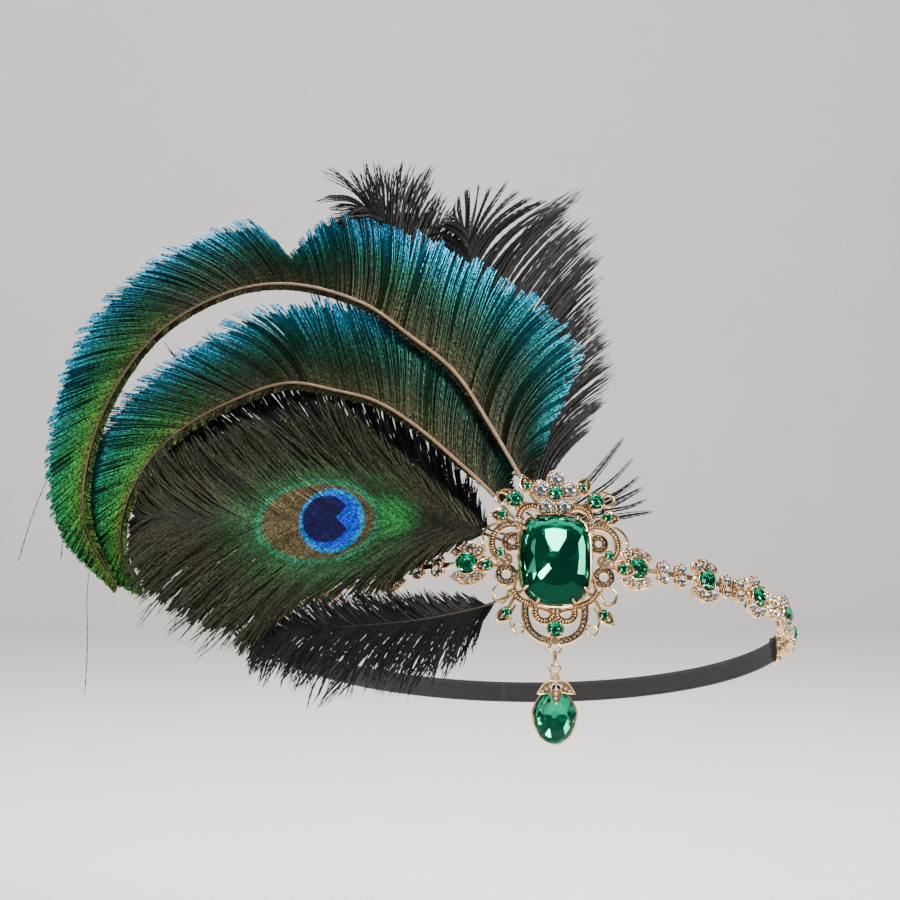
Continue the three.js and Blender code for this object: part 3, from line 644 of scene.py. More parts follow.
# Quill rows: across and up, as shares of the reach. Barb rows: along past the root, left and
# right, as shares of the barb's length. Lean rows: along, how far back the barb starts as a
# share of its length, and its first angle to the quill.
swordLook = {
    "slot": "sword_feather", "material": "swordBarbs", "shadeLayer": "swordPaintedShade", "barb": 45 * mm, "inner": 0.45,
    "pitch": 0.42 * mm, "steps": 30, "pull": 0.3, "ragged": 0.03, "waves": 1.2, "width": 0.56 * mm,
    "bead": 0.6, "profile": [0.7, 0.85, 0.95, 1.1, 0.9], "quillBehind": -0.35 * mm,
}
plumeLook = {
    "slot": "plume", "material": "plumeBarbs", "pitch": 0.22 * mm, "steps": 22, "clump": (3, 7),
    "waves": 1.0, "waviness": 0.03, "fluff": 2.4 * mm, "width": 0.7 * mm, "bead": 0.6,
    "profile": [0.8, 1.0, 0.9, 0.5, 0.12], "quillRadius": 0.3 * mm, "quillBehind": 0.2 * mm,
}
feathers = {
    "swordOuter": {
        **swordLook, "node": "sword_feather_outer",
        "seat": (-0.12, 0.87), "reach": 150 * mm, "layer": 1, "sweep": 20, "seed": 11,
        "quill": [(0, 0), (-0.06, 0.11), (-0.12, 0.22), (-0.2, 0.35), (-0.3, 0.44), (-0.4, 0.52),
                  (-0.57, 0.58), (-0.71, 0.57), (-0.87, 0.48), (-0.98, 0.29), (-1, 0.07), (-0.91, -0.11)],
        "barbs": [(0, 0.02, 0.08), (0.04, 0.04, 0.5), (0.07, 0.06, 0.95), (0.16, 0.1, 0.86),
                  (0.26, 0.1, 0.74), (0.39, 0.12, 0.62), (0.43, 0.12, 0.25), (0.46, 0.12, 0.6),
                  (0.58, 0.13, 0.6), (0.68, 0.14, 0.52), (0.77, 0.14, 0.38), (0.89, 0.14, 0.22),
                  (1, 0.03, 0.04)],
        "lean": [(0, 0.1, 25), (0.12, 0.2, 35), (0.35, 0.15, 70), (0.5, 0.3, 60), (0.8, 0.45, 45),
                 (1, 0.6, 25)],
        "clump": (4, 9), "waviness": 0.008, "fluff": 0.8 * mm, "quillRadius": 0.5 * mm,
        "strays": [[(-156, 55), (-164, 41), (-169, 27), (-173, 10)],
                   [(-147, 14), (-148, -4), (-147, -20), (-147, -36)],
                   [(-150, 40), (-157, 24), (-158, 8)]],
    },
    "swordInner": {
        **swordLook, "node": "sword_feather_inner",
        "seat": (-0.66, 0.62), "reach": 132 * mm, "layer": 2, "sweep": 18, "seed": 12,
        "quill": [(0, 0), (-0.08, 0.11), (-0.17, 0.2), (-0.28, 0.3), (-0.37, 0.36), (-0.46, 0.39),
                  (-0.59, 0.42), (-0.73, 0.38), (-0.83, 0.33), (-0.92, 0.25), (-0.98, 0.12), (-0.98, 0),
                  (-0.92, -0.1)],
        "barbs": [(0, 0.02, 0.1), (0.04, 0.04, 0.5), (0.08, 0.06, 0.98), (0.19, 0.1, 0.9),
                  (0.31, 0.12, 0.8), (0.44, 0.14, 0.7), (0.57, 0.16, 0.6), (0.7, 0.16, 0.54),
                  (0.8, 0.14, 0.44), (0.89, 0.12, 0.28), (1, 0.03, 0.05)],
        "lean": [(0, 0.1, 25), (0.15, 0.25, 40), (0.4, 0.3, 60), (0.7, 0.4, 50), (1, 0.6, 25)],
        "clump": (4, 8), "waviness": 0.01, "fluff": 0.9 * mm, "quillRadius": 0.48 * mm,
    },
    "eyeFeather": {
        "node": "eye_feather", "slot": "eye_feather", "material": "eyeBarbs",
        "seat": (-0.78, 0.21), "reach": 125 * mm, "barb": 52 * mm, "layer": 0, "sweep": 42, "seed": 13,
        "quill": [(0, 0), (-0.09, 0.05), (-0.23, 0.07), (-0.36, 0.09), (-0.47, 0.09), (-0.65, 0.1),
                  (-0.83, 0.12), (-0.99, 0.14)],
        "barbs": [(0, 0.1, 0.1), (0.1, 0.62, 0.9), (0.27, 0.95, 1), (0.44, 1, 0.9), (0.61, 0.86, 0.74),
                  (0.78, 0.62, 0.56), (0.91, 0.34, 0.32), (1, 0.05, 0.05)],
        "lean": [(0, 0.1, 20), (0.2, 0.15, 28), (0.5, 0.2, 30), (1, 0.3, 15)],
        "pitch": 0.36 * mm, "steps": 44, "clump": (3, 6), "pull": 0.4, "ragged": 0.06, "waves": 1.0,
        "waviness": 0.03, "fluff": 1.0 * mm, "width": 0.66 * mm, "bead": 0.55,
        "profile": [0.8, 0.9, 0.85, 0.7, 0.2], "eyePlace": (-69.6 * mm, 13.7 * mm),
        "eyeReach": (25 * mm, 16 * mm), "quillRadius": 0.4 * mm, "quillBehind": 0.9 * mm,
        "shadeLayer": "eyePaintedShade",
    },
    "plumeRight": {
        **plumeLook, "node": "plume_right",
        "seat": (0.2, 0.87), "reach": 114 * mm, "barb": 50 * mm, "layer": 3, "sweep": 30, "seed": 14,
        "quill": [(0, 0), (-0.06, 0.12), (-0.13, 0.37), (-0.2, 0.61), (-0.25, 0.81), (-0.27, 0.95),
                  (-0.31, 0.99)],
        "barbs": [(0, 0.04, 0.5), (0.1, 0.2, 0.78), (0.33, 0.26, 0.84), (0.55, 0.3, 1),
                  (0.78, 0.28, 0.86), (0.91, 0.22, 0.5), (1, 0.06, 0.1)],
        "lean": [(0, 0.2, 25), (0.5, 0.3, 35), (1, 0.4, 20)],
        "steps": 26, "clump": (4, 9), "pull": 0.75, "ragged": 0.07, "waves": 0.8, "waviness": 0.015,
        "fluff": 2.6 * mm, "width": 0.8 * mm, "quillRadius": 0.35 * mm,
        "strays": [[(1, 15), (12, 19), (22, 24), (30, 29)], [(2, 14), (13, 16), (24, 19), (33, 21)],
                   [(1, 16), (10, 23), (20, 31), (27, 39)], [(2, 14), (14, 19), (25, 22), (31, 25)],
                   [(0, 17), (9, 26), (17, 36), (24, 46)], [(1, 15), (11, 21), (22, 27), (29, 33)]],
        "tuft": 7,
    },
    "plumeTop": {
        **plumeLook, "node": "plume_top",
        "seat": (-0.41, 0.81), "reach": 122 * mm, "barb": 26 * mm, "layer": 4, "sweep": 32, "seed": 15,
        "quill": [(0, 0), (-0.07, 0.12), (-0.14, 0.31), (-0.2, 0.49), (-0.27, 0.65), (-0.35, 0.83),
                  (-0.43, 0.95), (-0.49, 0.98), (-0.53, 0.94)],
        "barbs": [(0, 0.1, 0.1), (0.23, 0.7, 0.7), (0.45, 0.9, 0.9), (0.67, 1, 1), (0.83, 0.85, 0.9),
                  (0.94, 0.5, 0.6), (1, 0.1, 0.1)],
        "lean": [(0, 0.2, 25), (0.5, 0.3, 35), (1, 0.3, 30)],
        "pull": 0.6, "ragged": 0.1,
    },
    "plumeBack": {
        **plumeLook, "node": "plume_back",
        "seat": (-0.78, 0.43), "reach": 127 * mm, "barb": 40 * mm, "layer": 5, "sweep": 34, "seed": 16,
        "quill": [(0, 0), (-0.16, 0.13), (-0.4, 0.26), (-0.64, 0.33), (-0.86, 0.33), (-1, 0.28)],
        "barbs": [(0, 0.1, 0.1), (0.22, 0.75, 0.9), (0.44, 0.9, 1), (0.67, 0.9, 1), (0.87, 0.7, 0.7),
                  (1, 0.1, 0.1)],
        "lean": [(0, 0.2, 30), (1, 0.3, 30)],
        "pull": 0.5, "ragged": 0.1,
    },
    "plumeLow": {
        **plumeLook, "node": "plume_low",
        "seat": (-0.66, -0.52), "reach": 92 * mm, "barb": 24 * mm, "layer": 1.1, "sweep": 30, "seed": 17,
        "quill": [(0, 0), (-0.16, -0.05), (-0.35, -0.09), (-0.57, -0.11), (-0.78, -0.12), (-0.98, -0.14)],
        "barbs": [(0, 0.7, 0.2), (0.18, 1, 0.4), (0.41, 0.92, 0.5), (0.65, 0.76, 0.5), (0.86, 0.5, 0.34),
                  (1, 0.1, 0.1)],
        "lean": [(0, 0.2, 40), (1, 0.4, 25)],
        "pitch": 0.2 * mm, "steps": 26, "pull": 0.5, "ragged": 0.12, "waviness": 0.05, "bead": 0.55,
    },
}
featherMaterials = {
    "swordBarbs": makeSwordBarbs(),
    "eyeBarbs": makeEyeBarbs(),
    "plumeBarbs": makePlumeBarbs(),
    # The dark layers below are painted shade between the barbs
    "swordPaintedShade": makePaintedShade("swordPaintedShade", [(0.0, (0.008, 0.008, 0.005)), (0.6, (0.002, 0.012, 0.008)),
                                           (1.0, (0.002, 0.03, 0.04))]),
    "eyePaintedShade": makePaintedShade("eyePaintedShade", [(0.0, (0.006, 0.006, 0.004)), (1.0, (0.010, 0.010, 0.006))]),
}


# Painted shade: a dark, even layer close behind the barbs, which shows as shade between them
def buildPaintedShadeLayer(name, feather):
    look = {"pitch": 0.7 * mm, "steps": 12, "clump": (1, 1), "pull": 0, "ragged": 0.02, "fluff": 0.1 * mm,
            "width": 1.5 * mm, "profile": [1, 1, 1, 0.9, 0.4], "bead": 1, "barb": 0.9 * feather["barb"]}
    plain = {**feather, **look}
    random = np.random.default_rng(feather["seed"] + 100)
    sides = [barbLines(plain, side, random) for side in (1, -1)]
    lines, shares, tones, _, grown = (np.concatenate(part) for part in zip(*sides))
    lines[..., 1] += 0.45 * mm
    widths = barbWidths(plain, len(lines)) * (0.45 + 0.55 * grown)[:, None]
    shade = ribbons(name, lines, widths, np.zeros(len(lines)), shares, tones, grown)
    setMaterial(shade, featherMaterials[feather["shadeLayer"]])
    onBody(shade, "headband", feather["slot"])


def buildFeather(name, feather):
    random = np.random.default_rng(feather["seed"])
    sides = [barbLines(feather, side, random) for side in (1, -1)]
    for row in feather.get("strays", []):
        path = smoothPath(np.array(row) * mm, feather["steps"])[0]
        y = sheetDepth(path[:, 0], path[:, 1], feather["layer"])
        line = np.stack([path[:, 0], y, path[:, 1]], 1)
        copies = feather.get("tuft", 1)
        spread = np.linspace(1.2, 0.3, len(line))[None, :, None] * mm * (copies > 1)
        tuft = line[None] + random.normal(0, 1, (copies, 1, 3)) * spread
        sides.append((tuft, *(np.full(copies, value) for value in (0.3, 0.2, 0.0, 0.3))))
    lines, shares, tones, depths, grown = (np.concatenate(part) for part in zip(*sides))
    widths = barbWidths(feather, len(lines)) * (0.45 + 0.55 * grown)[:, None]
    twist = depths[:, None] * 0.25 + random.normal(0, 0.25, (len(lines), 1)) + np.zeros(widths.shape)
    eyePlace = feather.get("eyePlace")
    if eyePlace:
        place = (lines[..., [0, 2]] - np.array(eyePlace)) / np.array(feather["eyeReach"])
        near = np.clip(1.25 - np.linalg.norm(place, axis=2), 0, 0.25) * 4
        widths = widths * (1 - near) + near * 0.95 * mm
        twist = twist * (1 - near)
    barbs = ribbons(name + "Barbs", lines, widths, twist, shares, tones, grown, eyePlace)
    setMaterial(barbs, featherMaterials[feather["material"]])
    onBody(barbs, "headband", feather["slot"], feather["node"])
    # The dark sheet behind the barbs is painted shade
    if "shadeLayer" in feather:
        buildPaintedShadeLayer(name + "Shade", feather)
    quill = quillPiece(name + "Quill", feather)
    setMaterial(quill, quillHorn if feather["slot"] == "sword_feather" else quillDark)
    onBody(quill, "headband", feather["slot"])
    print(name, len(barbs.data.polygons) * 2, "triangles")


for name, feather in feathers.items():
    buildFeather(name, feather)
print("feathers laid")


# Jewellery tools: lengths here are in metres, and flat places are x across, y up, z outwards
def at(across, up):
    return across * fan["halfWide"], up * fan["halfHigh"]


def roundOutline(radius):
    return lambda angle: (radius * math.cos(angle), radius * math.sin(angle))


def cushionOutline(width, height, power=0.56, taper=0.0):
    def outline(angle):
        c, s = math.cos(angle), math.sin(angle)
        wide = width / 2 * (1 - taper * max(-s, 0) ** 2)
        return wide * math.copysign(abs(c) ** power, c), height / 2 * math.copysign(abs(s) ** power, s)
    return outline


def pearOutline(width, height, pinch=0.5, power=1.5):
    def outline(angle):
        rise = math.sin(angle)
        return width / 2 * math.cos(angle) * (1 - pinch * max(rise, 0) ** power), height / 2 * rise
    return outline


# A flat outline drawn up in levels of (height, share of the outline, turn in degrees)
def drawUp(name, sides, levels, outline, facets=False):
    startFresh()
    rise, scale, _ = levels[0]
    bpy.ops.mesh.primitive_circle_add(vertices=sides, radius=scale, fill_type="NGON", location=(0, 0, rise))
    obj = bpy.context.object
    obj.name = name
    bpy.ops.object.mode_set(mode="EDIT")
    bpy.ops.mesh.select_all(action="SELECT")
    for nextRise, nextScale, turn in levels[1:]:
        bpy.ops.mesh.extrude_region_move(TRANSFORM_OT_translate={"value": (0, 0, nextRise - rise)})
        share = nextScale / scale
        bpy.ops.transform.resize(value=(share, share, 1), center_override=(0, 0, 0))
        if turn:
            bpy.ops.transform.rotate(value=math.radians(turn), orient_axis="Z", center_override=(0, 0, 0))
        rise, scale = nextRise, nextScale
    bpy.ops.mesh.select_all(action="SELECT")
    if facets:
        bpy.ops.mesh.quads_convert_to_tris(quad_method="SHORTEST_DIAGONAL")
    bpy.ops.mesh.normals_make_consistent(inside=False)
    bpy.ops.object.mode_set(mode="OBJECT")
    applyPlace(obj)
    for vert in obj.data.vertices:
        reach = math.hypot(vert.co.x, vert.co.y)
        x, y = outline(math.atan2(vert.co.y, vert.co.x))
        vert.co.x, vert.co.y = reach * x, reach * y
    return obj


# A solid drawn along a path: the section is in across and up
def sweep(name, path, section, closed=False, up=(0, 0, 1), lanes=()):
    path = np.array(path, float)
    if closed:
        along = np.roll(path, -1, axis=0) - np.roll(path, 1, axis=0)
    else:
        along = np.gradient(path, axis=0)
    along = unit(along)
    across = unit(np.cross(along, up))
    normal = np.cross(across, along)
    section = np.array(section, float)
    count, sides = len(path), len(section)
    points = (path[:, None] + across[:, None] * section[None, :, :1]
              + normal[:, None] * section[None, :, 1:])
    faces = []
    for row in range(count if closed else count - 1):
        after = (row + 1) % count
        for i in range(sides):
            j = (i + 1) % sides
            faces.append((row * sides + i, row * sides + j, after * sides + j, after * sides + i))
    if not closed:
        faces.append(tuple(range(sides)))
        faces.append(tuple((count - 1) * sides + i for i in range(sides)))
    mesh = bpy.data.meshes.new(name)
    mesh.from_pydata(points.reshape(-1, 3).tolist(), [], faces)
    obj = addObject(name, mesh)
    selectOnly(obj)
    bpy.ops.object.mode_set(mode="EDIT")
    bpy.ops.mesh.select_all(action="SELECT")
    bpy.ops.mesh.normals_make_consistent(inside=False)
    bpy.ops.object.mode_set(mode="OBJECT")
    smoothBelow(obj, 38)
    # Faces in the given lanes get the darker gold: painted shade in the channel's valley
    if lanes:
        setMaterial(obj, gold, goldPaintedShade)
        for i, polygon in enumerate(obj.data.polygons):
            polygon.material_index = int(i % sides in lanes and len(polygon.vertices) == 4)
    return obj


# These lanes get the darker gold as painted shade
valleyLanes = (3, 4, 5)  # the sides and the floor of a channel
channelLip = 0.7 * mm


def roundSection(radius, sides=8):
    return [(radius * math.cos(2 * math.pi * i / sides), radius * math.sin(2 * math.pi * i / sides))
            for i in range(sides)]


def arcPath(x, y, radius, start, end, count=24, z=0):
    angles = np.radians(np.linspace(start, end, count))
    return np.stack([x + radius * np.cos(angles), y + radius * np.sin(angles), np.full(count, z)], 1)


def flatPath(shares, z=0, count=26):
    points = [(*at(*share), z) for share in shares]
    return smoothPath(points, count)[0]


def onSide(side, path):
    return np.array(path) * [side, 1, 1]


def ringPiece(name, x, y, radius, thickness, z):
    startFresh()
    bpy.ops.mesh.primitive_torus_add(major_radius=radius, minor_radius=thickness, major_segments=22,
                                     minor_segments=8, location=(x, y, z))
    bpy.ops.object.shade_smooth()
    obj = bpy.context.object
    obj.name = name
    return applyPlace(obj)


# Places along a path, every spacing, with x along it
def placesAlong(path, spacing, rise=0, shift=0, ends=0.5):
    path = np.array(path)
    run = np.concatenate([[0], np.cumsum(np.linalg.norm(np.diff(path, axis=0), axis=1))])
    count = max(1, round(run[-1] / spacing))
    places = []
    for i in range(count):
        d = run[-1] * (i + ends) / count
        point = np.array([np.interp(d, run, path[:, k]) for k in range(3)])
        ahead = np.array([np.interp(min(d + spacing / 4, run[-1]), run, path[:, k]) for k in range(3)])
        behind = np.array([np.interp(max(d - spacing / 4, 0), run, path[:, k]) for k in range(3)])
        angle = math.atan2(ahead[1] - behind[1], ahead[0] - behind[0])
        places.append(Matrix.Translation(point) @ Matrix.Rotation(angle, 4, "Z")
                      @ Matrix.Translation((0, shift, rise)))
    return places


def clawPiece(thickness, height, over):
    startFresh()
    bpy.ops.mesh.primitive_cylinder_add(vertices=6, radius=thickness, depth=height,
                                        location=(0, 0, height / 2))
    obj = bpy.context.object
    bpy.ops.object.mode_set(mode="EDIT")
    pickFaces(obj, lambda face: face.normal.z > 0.9)
    bpy.ops.mesh.extrude_region_move(TRANSFORM_OT_translate={"value": (-0.45 * over, 0, 0.6 * over)})
    bpy.ops.mesh.extrude_region_move(TRANSFORM_OT_translate={"value": (-0.55 * over, 0, 0.25 * over)})
    bpy.ops.transform.resize(value=(0.7, 0.7, 0.7))
    bpy.ops.object.mode_set(mode="OBJECT")
    return applyPlace(smoothBelow(obj, 50))


# A cup with claws over the stone's edge
def cupPiece(name, radius, girdle, claws, wall=0.32 * mm, floor=0.8 * mm, gap=0.08 * mm, claw=0.26 * mm,
             turn=45):
    outer = radius + gap + wall
    top = girdle - 0.25 * mm
    cup = drawUp(name, 20, [(0, 0.86, 0), (0.35 * mm, 1, 0), (top, 1, 0), (top, (radius + gap) / outer, 0),
                            (floor, 0.9 * (radius + gap) / outer, 0)], roundOutline(outer))
    smoothBelow(cup, 35)
    post = clawPiece(claw, girdle + 0.1 * mm, 0.65 * mm)
    reach = Matrix.Translation((outer - 0.12 * mm, 0, 0))
    turns = [math.radians(turn + 360 * i / claws) for i in range(claws)]
    around = stamp(name + "Claws", post, [Matrix.Rotation(angle, 4, "Z") @ reach for angle in turns])
    discard(post)
    return joinAll(name, [cup, around])


# Glass over a foil bowl, as on foil-backed rhinestones
def glassStone(name, sides, outline, back, girdle, table, crown=((0.5, 0.84), (1, 0.58))):
    turn = 180 / sides
    levels = [(back, 0.96, 0), (back + 0.1 * mm, 1, 0), (girdle, 1, 0)]
    levels += [(girdle + share * (table - girdle), scale, turn) for share, scale in crown]
    return drawUp(name, sides, levels, outline, facets=True)


def foilBowl(name, sides, outline, back, girdle, bowl=((0.45, 0.66), (0.85, 0.34))):
    turn = 180 / sides
    low, high = back + 0.15 * mm, girdle - 0.12 * mm
    depth = high - low - 0.2 * mm
    levels = [(low, 0.93, 0), (high, 0.95, 0), (high, 0.91, 0)]
    levels += [(high - share * depth, scale, turn) for share, scale in bowl]
    return drawUp(name, sides, levels, outline, facets=True)


def chipPiece(radius, height=0.5 * mm):
    return drawUp("chip", 6, [(0, 1, 0), (0.4 * height, 1, 0), (height, 0.55, 30)], roundOutline(radius),
                  facets=True)


def beadPiece(radius):
    startFresh()
    bpy.ops.mesh.primitive_ico_sphere_add(subdivisions=1, radius=radius)
    bpy.ops.object.shade_smooth()
    return applyPlace(bpy.context.object)


# An open channel's section, from one foot round to the other
def channel(width, height):
    half = width / 2
    wall = 0.34 * mm
    valley = height - channelLip
    return [(-half, 0), (-half, height - 0.2 * mm), (-half + 0.1 * mm, height), (-half + wall, height),
            (-half + wall + 0.08 * mm, valley), (half - wall - 0.08 * mm, valley), (half - wall, height),
            (half - 0.1 * mm, height), (half, height - 0.2 * mm), (half, 0)]


# The brooch's castings, and the chips and grains that fill their channels. Places are shares of
# the large stone's half width and half height. Leaf rows: across, up, direction, stone radius.
brooch = {
    "bandWidth": 2.0 * mm,
    "bandHeight": 2.4 * mm,
    "armWidth": 2.3 * mm,
    "circleWidth": 2.1 * mm,
    "sideArc": (118, -52),
    "loopArc": (25, -205),
    "wire": 0.42 * mm,
    "wireRise": 1.2 * mm,
    "ribSpacing": 0.84 * mm,
    "chipRadius": 0.56 * mm,
    "chipSpacing": 1.42 * mm,
    "crestSpacing": 1.5 * mm,
    "leaves": [(0.72, 1.52, 66, 1.2 * mm), (1.36, 0.91, 0, 1.45 * mm), (1.74, -0.12, -8, 1.55 * mm),
               (1.24, -1.06, -44, 1.5 * mm)],
    "leafLength": 6.6 * mm,
    "leafWidth": 4.5 * mm,
    "leafHeight": 1.8 * mm,
    "stoneWidth": 21.6 * mm,
    "stoneHeight": 29 * mm,
    "taper": 0.26,
    "girdle": 3.9 * mm,
    "crown": 3.4 * mm,
    "flowerUp": 21.39 * mm,
    "petalReach": 4.9 * mm,
    "petalRadius": 2.5 * mm,
    "petalGirdle": 3.9 * mm,
    "footEyeUp": -27.7767 * mm,
    "footEyeRadius": 1.75 * mm,
    "hitchAcross": 1.58,
    "hitchRadius": 3.2649 * mm,
    "ringWire": 0.45 * mm,
}
broochValley = brooch["bandHeight"] - channelLip


# Chips along a path, with a pair of beads between each two. The work holds the pieces of metal,
# the places of ribs, chips and beads, and the seats of the small green stones.
def jewelled(work, path, spacing=brooch["chipSpacing"]):
    work["chips"] += placesAlong(path, spacing, broochValley + 0.12 * mm)
    for shift in (0.42 * mm, -0.42 * mm):
        work["beads"] += placesAlong(path, spacing, broochValley + 0.42 * mm, shift, ends=1)[:-1]


def addBands(work, side):
    section = channel(brooch["bandWidth"], brooch["bandHeight"])
    bands = [
        arcPath(*at(1.1, 0.34), 0.51 * fan["halfWide"], *brooch["sideArc"], 34),
        flatPath([(1.1, -0.56), (0.92, -0.77), (0.6, -0.89), (0.26, -0.945), (0.02, -1.03)]),
        arcPath(*at(0.27, -1.03), 0.23 * fan["halfWide"], *brooch["loopArc"], 30),
        flatPath([(0.36, 1.07), (0.6, 1.12), (0.84, 1.04), (0.95, 0.84)], 0, 20),
    ]
    for path in bands:
        work["metal"].append(sweep("ribbedBand", onSide(side, path), section, lanes=valleyLanes))
        work["ribs"] += placesAlong(onSide(side, path), brooch["ribSpacing"], broochValley + 0.28 * mm)
    inner = flatPath([(0.86, 0.8), (0.97, 0.62), (0.9, 0.4), (0.93, 0.15), (0.9, -0.1), (0.98, -0.35),
                      (1.04, -0.56)], 1.6 * mm, 34)
    work["metal"].append(sweep("innerWire", onSide(side, inner), roundSection(0.6 * mm)))
    arm = onSide(side, flatPath([(0.76, -0.86), (0.74, -1.16), (0.62, -1.4), (0.4, -1.54), (0.12, -1.61)]))
    armSection = channel(brooch["armWidth"], brooch["bandHeight"])
    work["metal"].append(sweep("jewelArm", arm, armSection, lanes=valleyLanes))
    jewelled(work, arm)
    crest = flatPath([(0.84, 0.86), (1.02, 0.74), (1.3, 0.72), (1.5, 0.56)], 0, 24)
    jewelled(work, onSide(side, crest + [0, 0, 0.25 * mm]), brooch["crestSpacing"])


# Two jewelled circles beside the large stone, and a cluster of chips between them
def addCircles(work, side):
    section = channel(brooch["circleWidth"], brooch["bandHeight"])
    for x, y, size, count in ((1.11, 0.37, 0.17, 8), (1.24, -0.3, 0.2, 10)):
        radius = size * fan["halfWide"]
        circle = onSide(side, arcPath(*at(x, y), radius, 0, 360 - 360 / 28, 28))
        work["metal"].append(sweep("paisley", circle, section, closed=True, lanes=valleyLanes))
        jewelled(work, onSide(side, arcPath(*at(x, y), radius, 0, 360, 40)), 2 * math.pi * radius / count)
    for share in ((1.16, 0.06), (1.28, 0.02), (1.2, -0.06), (1.36, 0.06)):
        x, y = at(*share)
        work["chips"].append(Matrix.Translation((side * x, y, 2.05 * mm)))
    pad = drawUp("clusterPad", 14, [(0.4 * mm, 0.95, 0), (1.9 * mm, 1, 0), (2.1 * mm, 0.92, 0)],
                 roundOutline(2.1 * mm))
    x, y = at(1.24, 0.01)
    work["metal"].append(moved(pad, side * x, y))


def addScrolls(work, side):
    for x, y, size in ((1.36, -0.66, 0.21), (1.38, 1.27, 0.16), (1.75, 0.35, 0.12), (0.93, -1.37, 0.14)):
        across, up = at(x, y)
        work["metal"].append(ringPiece("scrollRing", side * across, up, size * fan["halfWide"],
                                       brooch["wire"], brooch["wireRise"]))
    scrolls = [
        [(1.3, 0.7), (1.5, 0.74), (1.72, 0.66), (1.86, 0.5), (1.87, 0.35)],
        [(1.0, -0.9), (1.1, -1.05), (1.12, -1.2), (1.07, -1.36)],
        [(0.98, 1.36), (1.18, 1.45), (1.4, 1.42), (1.53, 1.27)],
        [(1.16, -0.6), (1.3, -0.85), (1.5, -0.82), (1.57, -0.66)],
    ]
    for shares in scrolls:
        path = onSide(side, flatPath(shares, brooch["wireRise"]))
        work["metal"].append(sweep("scrollWire", path, roundSection(brooch["wire"])))
    struts = [((1.0, -0.7), (1.24, -1.06)), ((0.8, 0.82), (1.04, 1.23)), ((0.25, 1.1), (1.04, 1.23)),
              ((1.0, 0.74), (1.36, 0.91)), ((1.24, -0.1), (1.74, -0.12)), ((0.5, 1.3), (0.72, 1.52)),
              ((0.86, 0.4), (0.98, 0.4)), ((0.88, -0.28), (1.06, -0.3)), ((0.86, -0.62), (1.0, -0.64))]
    for start, end in struts:
        middle = tuple((a + b) / 2 for a, b in zip(start, end))
        path = onSide(side, flatPath([start, middle, end], 0.9 * mm, 6))
        work["metal"].append(sweep("strut", path, roundSection(0.62 * mm, 6)))


def addLeaves(work, side):
    for across, up, direction, radius in brooch["leaves"]:
        x, y = at(across, up)
        turn = side * (direction - 90)
        place = Matrix.Translation((side * x, y, 0)) @ Matrix.Rotation(math.radians(turn), 4, "Z")
        work["metal"].append(leafPiece(place, brooch["leafWidth"], brooch["leafLength"],
                                       brooch["leafHeight"]))
        addSmallStone(work, "leafCup", (side * x, y), radius, 2.5 * mm, 3.3 * mm)
        for step in (2.1, 3.3, 4.3):
            work["chips"].append(place @ Matrix.Translation((0, step * mm, 1.75 * mm))
                                 @ Matrix.Scale(1.15 - 0.13 * step, 4))
    x, y = at(1.4, 0.14)
    addSmallStone(work, "sideCup", (side * x, y), 1.3 * mm, 2.6 * mm, 3.4 * mm)


# A cup, and the green stone that it will hold
def addSmallStone(work, name, place, radius, girdle, table):
    cup = cupPiece(name, radius, girdle, 4, floor=1.6 * mm, claw=0.22 * mm)
    work["metal"].append(moved(cup, *place))
    work["green"].append((*place, radius, 1.75 * mm, girdle, table))


# The ring at the back that the chain's hook goes round
def hitchPiece(side):
    reach = brooch["hitchRadius"]
    place = (side * brooch["hitchAcross"] * fan["halfWide"], wear["broochDrop"], 0.9 * mm - reach)
    startFresh()
    bpy.ops.mesh.primitive_torus_add(major_radius=reach, minor_radius=brooch["ringWire"], major_segments=26,
                                     minor_segments=8, location=place, rotation=(math.radians(90), 0, 0))
    bpy.ops.object.shade_smooth()
    return applyPlace(bpy.context.object)


def ribPiece():
    startFresh()
    bpy.ops.mesh.primitive_cylinder_add(vertices=7, radius=0.28 * mm, depth=brooch["bandWidth"] - 0.6 * mm,
                                        rotation=(math.radians(90), 0, 0))
    return smoothBelow(applyPlace(bpy.context.object), 60)


def buildBrooch():
    work = {store: [] for store in ("metal", "ribs", "chips", "beads", "green")}
    for side in (1, -1):
        for addTo in (addBands, addCircles, addScrolls, addLeaves):
            addTo(work, side)
        work["metal"].append(hitchPiece(side))
    rib, chip, bead = ribPiece(), chipPiece(brooch["chipRadius"]), beadPiece(0.2 * mm)
    work["metal"] += [stamp("ribs", rib, work["ribs"]), stamp("beads", bead, work["beads"])]
    chips = stamp("broochChips", chip, work["chips"])
    discard(rib, chip, bead)
    work["metal"] += mainSetting()
    work["metal"].append(ringPiece("footEye", 0, brooch["footEyeUp"], brooch["footEyeRadius"],
                                   brooch["ringWire"], brooch["wireRise"]))
    lug = drawUp("footLug", 12, [(0, 1, 0), (2 * mm, 1, 0), (2.4 * mm, 0.8, 0)], roundOutline(1.3 * mm))
    work["metal"].append(moved(lug, *at(0, -1.61)))
    return work["metal"], chips, work["green"]


# A pointed leaf with a raised rim, its broad end at the place
def leafPiece(place, width, length, height):
    outline = pearOutline(width, length, 0.72, 1.3)
    plate = drawUp("leafPlate", 20, [(0.2 * mm, 0.9, 0), (0.5 * mm, 1, 0), (height - 0.1 * mm, 1, 0),
                                     (height + 0.15 * mm, 0.93, 0), (height + 0.1 * mm, 0.82, 0),
                                     (height - 0.15 * mm, 0.74, 0)], outline)
    smoothBelow(plate, 40)
    setMaterial(plate, gold, goldPaintedShade)
    # The recess's floor gets the darker gold: painted shade in the hollow
    ground = max(plate.data.polygons, key=lambda face: (len(face.vertices), face.center.z))
    ground.material_index = 1
    plate.data.transform(place @ Matrix.Translation((0, (length - width) / 2, 0)))
    return plate
